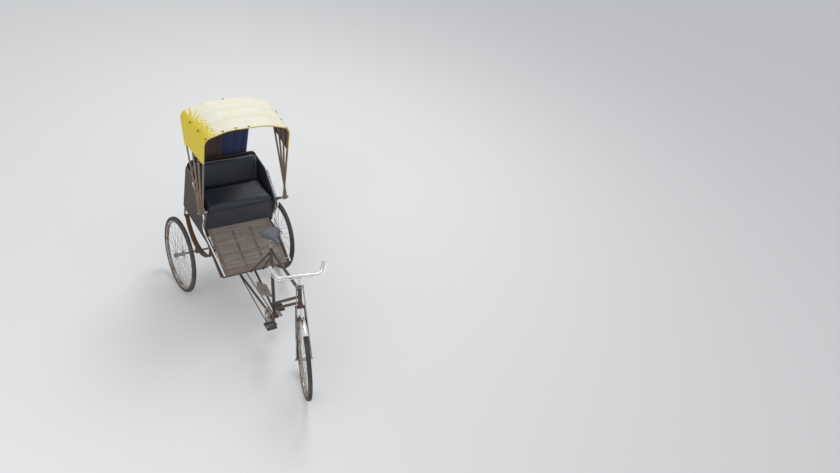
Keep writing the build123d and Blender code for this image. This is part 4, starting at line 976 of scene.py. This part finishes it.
# padded linings inside the box sides, with piping over the panels' top edges
lining = {
    "inner": 0.3285, "outer": 0.3355, "round": 0.0028,
    # outlines as y, z
    "edge": [
        (0.6235, 0.8925), (0.6180, 0.9040), (0.8830, 1.0735), (1.0700, 1.0905), (1.0700, 0.8925),
    ],
    "pipe": 0.0052, "pipeX": 0.3395, "pipeCorner": 0.03,
    "pipeEdge": [(0.6130, 0.7600), (0.5990, 0.9050), (0.8790, 1.0865), (1.0790, 1.1000)],
}
for side, label in ((1, "left"), (-1, "right")):
    work = bmesh.new()
    inside = [work.verts.new((side * lining["inner"], y, z)) for y, z in lining["edge"]]
    grown = bmesh.ops.extrude_face_region(work, geom=[work.faces.new(inside)])
    moved = [v for v in grown["geom"] if isinstance(v, bmesh.types.BMVert)]
    thick = side * (lining["outer"] - lining["inner"])
    bmesh.ops.translate(work, verts=moved, vec=(thick, 0, 0))
    innerEdges = [
        e for e in work.edges if all(abs(abs(v.co.x) - lining["inner"]) < 1e-5 for v in e.verts)
    ]
    roundEdges(work, innerEdges, lining["round"], 3)
    keep(f"sideLining_{label}", work, "seatVinyl", "carriage", smooth=False)
    line = roundedPath(
        [(side * lining["pipeX"], y, z) for y, z in lining["pipeEdge"]], lining["pipeCorner"]
    )
    tube(f"sidePiping_{label}", line, lining["pipe"], "pipingVinyl", "carriage")
print("box lined")

# saddle: a moulded cover on a pan, with coil springs and wires
saddle = {
    "nose": -0.1195, "tail": 0.0995,
    # share of the length from the nose, and the half width, top or skirt there
    "widths": [
        (0.0, 0.019), (0.18, 0.0215), (0.40, 0.0270), (0.56, 0.0520), (0.72, 0.0930),
        (0.86, 0.0985), (1.0, 0.0860),
    ],
    "tops": [(0.0, 1.0700), (0.2, 1.0715), (0.5, 1.0690), (0.8, 1.0765), (1.0, 1.0770)],
    "skirts": [(0.0, 0.022), (0.3, 0.030), (0.6, 0.036), (1.0, 0.033)],
    "roundEnds": 0.10, "dip": 0.0035, "dipHalf": 0.35, "thick": 0.0045, "net": (44, 64),
    "size": (0.21, 0.22), "panNet": (24, 40), "panInset": 0.006, "panEnds": 0.03, "panDepth": 0.80,
    "panCrown": 0.004, "panThick": 0.002, "springX": 0.062, "springY": 0.071, "springLow": 1.0065,
    "springHigh": 1.0400, "springRadius": 0.0105, "springWire": 0.0021, "turns": 4.5,
    "turnSteps": 14, "wire": 0.0034, "wireBend": 0.02,
    # x, y, z on the left, from the nose to the spring's foot
    "wirePath": [
        (0.010, -0.100, 1.0375), (0.0255, 0.022, 1.0263), (0.0255, 0.070, 1.0263),
        (0.062, 0.071, 1.0085), (0.070, 0.075, 1.0075),
    ],
}


def between(table, t):
    for (a, low), (b, high) in zip(table, table[1:]):
        if t <= b:
            share = (t - a) / (b - a)
            share = share * share * (3 - 2 * share)
            return low + (high - low) * share
    return table[-1][1]


def saddlePoint(u, v, shrink=0.0):
    # u runs over the cover from side to side, v from the nose to the tail
    across = 2 * u - 1
    full = 1.0
    for end in (0, 1):
        near = abs(v - end) / saddle["roundEnds"]
        if near < 1:
            full *= math.sqrt(max(0, 1 - (1 - near) ** 2)) * 0.72 + 0.28 * near
    width = (between(saddle["widths"], v) - shrink) * full
    sideways = abs(across) ** 3.0
    fall = sideways * 0.85 + (1 - full) ** 1.6 * 0.8 * (1 - sideways)
    fall *= between(saddle["skirts"], v)
    dip = saddle["dip"] * math.exp(-((across / saddle["dipHalf"]) ** 2))
    dip *= math.sin(math.pi * v) ** 2
    return Vector((
        width * math.sin(across * math.pi / 2),
        saddle["nose"] + (saddle["tail"] - saddle["nose"]) * v,
        between(saddle["tops"], v) - fall - dip - shrink,
    ))


cover = layCloth(
    "saddleCover", saddle["net"], saddlePoint, saddle["size"], (0, 0, 1),
    ["saddleCover", "saddlePan"],
)
thicken(cover, saddle["thick"], -1, innerSecond=True)
soften = cover.modifiers.new("soften", "SUBSURF")
soften.levels = soften.render_levels = 1
applyModifiers(cover)
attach(cover, "carriage")
work = bmesh.new()
bmesh.ops.create_grid(work, x_segments=saddle["panNet"][0], y_segments=saddle["panNet"][1], size=1)
for vert in work.verts:
    u, v = (vert.co.x + 1) / 2, (vert.co.y + 1) / 2
    kept = saddle["panEnds"] + (1 - 2 * saddle["panEnds"]) * v
    spot = saddlePoint(u, kept, saddle["panInset"])
    under = between(saddle["tops"], v) - between(saddle["skirts"], v) * saddle["panDepth"]
    under += saddle["panCrown"] * math.cos((u - 0.5) * math.pi)
    vert.co = (spot.x, spot.y, min(spot.z, under))
bmesh.ops.solidify(work, geom=list(work.faces), thickness=saddle["panThick"])
keep("saddlePan", work, "saddlePan", "carriage")
for side, label in ((1, "left"), (-1, "right")):
    coil = []
    count = round(saddle["turns"] * saddle["turnSteps"])
    for i in range(count + 1):
        turn = 2 * math.pi * saddle["turns"] * i / count
        coil.append((
            side * saddle["springX"] + saddle["springRadius"] * math.cos(turn),
            saddle["springY"] + saddle["springRadius"] * math.sin(turn),
            saddle["springLow"] + (saddle["springHigh"] - saddle["springLow"]) * i / count,
        ))
    tube(
        f"saddleSpring_{label}", coil, saddle["springWire"], "dullSteel",
        "carriage", rounds=2, steps=2,
    )
    wire = roundedPath([(side * x, y, z) for x, y, z in saddle["wirePath"]], saddle["wireBend"])
    tube(
        f"saddleWire_{label}", wire, saddle["wire"], "dullSteel", "carriage",
        kind="POLY",
    )
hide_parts("saddle")
print("saddle made")

# tyres with a rounded section and a ribbed tread, and nipples where the spokes meet the rims
tyre = {
    # half width and radius, from the bead to the tread's middle
    "section": [
        (0.0138, 0.3225), (0.0152, 0.3262), (0.0168, 0.3310), (0.0183, 0.3365), (0.0188, 0.3412),
        (0.0181, 0.3456), (0.0162, 0.3496), (0.0136, 0.3522), (0.0104, 0.3538), (0.0068, 0.3546),
        (0.0032, 0.3549),
    ],
    "steps": 360, "ribs": 90, "slant": 320, "steep": 2.2, "depth": 0.0011, "treadHalf": 0.0125,
    "treadFrom": 0.35, "smoothHalf": 0.004,
}
nipple = {
    "length": 0.011, "low": 0.001575, "high": 0.0021, "spread": 0.005, "row": 0.0017, "cross": 60.0,
    "rim": 0.3070, "apart": 40, "perRow": 9,
}
valve = {"place": (0.295, 0, 0), "low": 0.003, "high": 0.0025, "length": 0.026}
wheels = [
    # name, CAD tyre, hub centre, axle direction, body
    (
        "frontTyre", "front_tyre", (-0.016417, -0.810316, 0.353099),
        (0.939693, -0.317116, 0.128123), "front_wheel",
    ),
    ("rearTyreLeft", "rear_tyre_left", (0.4885, 0.762, 0.355), (1, 0, 0), "left_wheel"),
    ("rearTyreRight", "rear_tyre_right", (-0.4885, 0.762, 0.355), (-1, 0, 0), "drive_axle"),
]
for name, node, centre, axle, body in wheels:
    placed = turnedTo(centre, axle)
    work = bmesh.new()
    outline = [(-x, r) for x, r in tyre["section"]] + [(x, r) for x, r in reversed(tyre["section"])]
    ring = [work.verts.new((r, 0, x)) for x, r in outline]
    edges = [work.edges.new(pair) for pair in zip(ring, ring[1:] + ring[:1])]
    bmesh.ops.spin(
        work, geom=ring + edges, cent=(0, 0, 0), axis=(0, 0, 1), dvec=(0, 0, 0),
        angle=2 * math.pi, steps=tyre["steps"], use_merge=True, use_duplicate=False,
    )
    bmesh.ops.remove_doubles(work, verts=work.verts, dist=1e-6)
    for vert in work.verts:
        far = math.hypot(vert.co.x, vert.co.y)
        wide = abs(vert.co.z)
        if tyre["smoothHalf"] <= wide < tyre["treadHalf"] and far > tyre["treadFrom"]:
            turn = math.atan2(vert.co.y, vert.co.x)
            wave = math.sin(turn * tyre["ribs"] + wide * tyre["slant"])
            cut = tyre["depth"] * (0.5 - 0.5 * max(-1, min(1, wave * tyre["steep"])))
            vert.co.x *= 1 - cut / far
            vert.co.y *= 1 - cut / far
    bmesh.ops.transform(work, verts=work.verts, matrix=placed)
    piece = keep(name, work, "tyreRubber", body)
    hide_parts(node)
    work = bmesh.new()
    for flange in (1, -1):
        for row, way in ((0, 1), (1, -1)):
            quarter = row / 2 + (0.25 if flange < 0 else 0) + 0.25
            first = nipple["apart"] * quarter + way * nipple["cross"]
            for spoke in range(nipple["perRow"]):
                turn = math.radians(first + nipple["apart"] * spoke)
                out = Vector((math.cos(turn), math.sin(turn), 0))
                spot = out * (nipple["rim"] - nipple["length"] / 2)
                spot.z = flange * nipple["spread"] + way * nipple["row"]
                cone(work, spot, out, nipple["low"], nipple["high"], nipple["length"])
    cone(work, valve["place"], (1, 0, 0), valve["low"], valve["high"], valve["length"], 8)
    bmesh.ops.transform(work, verts=work.verts, matrix=placed)
    label = name.replace("Tyre", "Nipples")
    keep(label, work, "dullSteel", body, smooth=False)
print("tyres made")

# rolled hem on the hood's front edge
hem = {"order": -0.112, "radius": 0.0042, "offset": -0.0020, "uneven": 0.0012, "steps": 120}
hemLine = []
for i in range(hem["steps"] + 1):
    across = -1 + 2 * i / hem["steps"]
    rise = hem["offset"] + hem["uneven"] * noise.noise(Vector((across * 14, 5, 2)))
    hemLine.append(hoodPoint(hem["order"], across) + hoodNormal(0, across) * rise)
tube(
    "hoodHem", hemLine, hem["radius"], "hoodTarpaulin", "hood_front", kind="POLY",
    rounds=2,
)

# cords that tie the cloth to the slats
tie = {
    "halfLength": 0.0170, "over": 0.0032, "under": 0.0125, "twist": 0.004, "radius": 0.0015,
    "tail": 0.013, "tailShares": (0.7, 1.2), "spread": 0.008,
    # share of the tail's length and height over the cloth
    "tailPath": [(0, 0.0045), (0.4, 0.0060), (0.8, 0.0040), (1, 0.0025)],
    "loopSteps": 24, "knotSteps": 9, "knotRise": 0.0050, "knotWave": 0.0016,
    "knotRadius": 0.0030, "lastTie": (3.0, -0.03),
}


def cordLoop(order, across, tail, spread):
    # a cord round a slat and the cloth on it, knotted on top with loose ends
    base = hoodPoint(order, across)
    up = hoodNormal(order, across)
    ahead = (hoodPoint(order - 0.02, across) - hoodPoint(order + 0.02, across)).normalized()
    beside = ahead.cross(up)
    loop = []
    for i in range(tie["loopSteps"] + 1):
        turn = 2 * math.pi * i / tie["loopSteps"]
        height = math.cos(turn)
        height *= tie["over"] if height > 0 else tie["under"]
        spot = base + ahead * tie["halfLength"] * math.sin(turn) + up * height
        loop.append(spot + beside * tie["twist"] * i / tie["loopSteps"])
    knot = []
    for i in range(2 * tie["knotSteps"] + 1):
        turn = 2 * math.pi * i / tie["knotSteps"]
        flat = beside * math.cos(turn) + ahead * math.sin(turn)
        height = tie["knotRise"] + tie["knotWave"] * math.sin(turn * 1.5)
        knot.append(base + up * height + flat * tie["knotRadius"])
    ends = []
    for way in (1, -1):
        reach = beside * way * tail + ahead * spread
        ends.append([base + reach * share + up * rise for share, rise in tie["tailPath"]])
    return [loop, knot, *ends]


slatBodies = ["hood_front", "hood_second", "hood_third", "hood_rear"]
for index, (order, across) in enumerate([*(row[:2] for row in hoodTies), tie["lastTie"]]):
    slat = round(max(0, order))
    tail = tie["tail"] * random.uniform(*tie["tailShares"])
    lines = cordLoop(slat, across, tail, random.uniform(-tie["spread"], tie["spread"]))
    cords = [
        tube(
            f"hoodTie{index}_{part}", line, tie["radius"], "tieCord",
            slatBodies[slat], rounds=1, steps=3,
        )
        for part, line in enumerate(lines)
    ]
    joined(cords, f"hoodTie{index}")
print("hood tied")

# nails and screws in the sloping floor
floor = {
    "front": (0, 0.187, 0.524), "along": (0, 0.92703, 0.37498), "up": (0, -0.37498, 0.92703),
    "nail": (0.0027, 0.0011), "screw": (0.0042, 0.0014), "plankStart": 0.058, "plankStep": 0.1417,
    "nailRows": (0.018, 0.121), "nailColumns": (-0.258, -0.170, 0.170, 0.258, 0.0),
    "astray": (0.004, 0.003),
    # half the distance between two lines of screws, first place, step, height over the planks
    "screwLines": [(0.085, 0.075, 0.110, 0.004), (0.286, 0.100, 0.120, 0)],
}


def onFloor(x, along, rise=0.0):
    spot = Vector(floor["front"]) + Vector((x, 0, 0))
    return spot + Vector(floor["along"]) * along + Vector(floor["up"]) * rise


work = bmesh.new()
strayX, strayY = floor["astray"]
for plank in range(3):
    for row in floor["nailRows"]:
        along = floor["plankStart"] + plank * floor["plankStep"] + row
        for x in floor["nailColumns"]:
            spot = onFloor(
                x + random.uniform(-strayX, strayX), along + random.uniform(-strayY, strayY)
            )
            domeHead(work, spot, floor["up"], *floor["nail"], 8)
for half, start, step, rise in floor["screwLines"]:
    for x in (-half, half):
        for i in range(4):
            domeHead(work, onFloor(x, start + i * step, rise), floor["up"], *floor["screw"])
keep("floorNails", work, "dullSteel", "carriage", smooth=False)

# rivets along the box's edges and nails in its front and rear panels
rivet = {
    "radius": 0.0036, "height": 0.0016, "nail": (0.0027, 0.0012),
    "acrossStart": -0.280, "acrossStep": 0.070, "acrossCount": 9,
    # y and z of the two lines across the box
    "rearLine": (1.085, 0.666), "frontLine": (0.637, 0.674),
}
rivetLines = [
    # first place on the left, step, count, axis, for the sides and the rear corners
    ((0.346, 1.072, 0.672), (0, 0, 0.067), 7, (1, 0, 0)),
    ((0.326, 1.085, 0.672), (0, 0, 0.067), 7, (0, 1, 0)),
    ((0.346, 0.660, 0.668), (0, 0.075, 0), 6, (1, 0, 0)),
    ((0.346, 0.642, 0.690), (0, 0, 0.055), 4, (1, 0, 0)),
    ((0.346, 0.672, 0.884), (0, 0.068, 0), 4, (1, 0, 0)),
]
work = bmesh.new()
for side in (1, -1):
    mirror = Matrix.Diagonal((side, 1, 1))
    for start, step, count, axis in rivetLines:
        for i in range(count):
            spot = mirror @ (Vector(start) + Vector(step) * i)
            domeHead(work, spot, mirror @ Vector(axis), rivet["radius"], rivet["height"])
for i in range(rivet["acrossCount"]):
    x = rivet["acrossStart"] + i * rivet["acrossStep"]
    domeHead(work, (x, *rivet["rearLine"]), (0, 1, 0), rivet["radius"], rivet["height"])
    domeHead(work, (x, *rivet["frontLine"]), (0, -1, 0), *rivet["nail"])
keep("boxNails", work, "dullSteel", "carriage", smooth=False)

# nuts on the hood's pin
nut = {"x": 0.4320, "radius": 0.0105, "height": 0.0060, "bevel": 0.00105}
work = bmesh.new()
for side in (1, -1):
    place = (side * nut["x"], *hood["pivot"][1:])
    cone(work, place, (side, 0, 0), nut["radius"], nut["radius"], nut["height"])
roundEdges(work, list(work.edges), nut["bevel"], 1)
keep("hoodNuts", work, "dullSteel", "carriage", smooth=False)
print("nails and nuts")
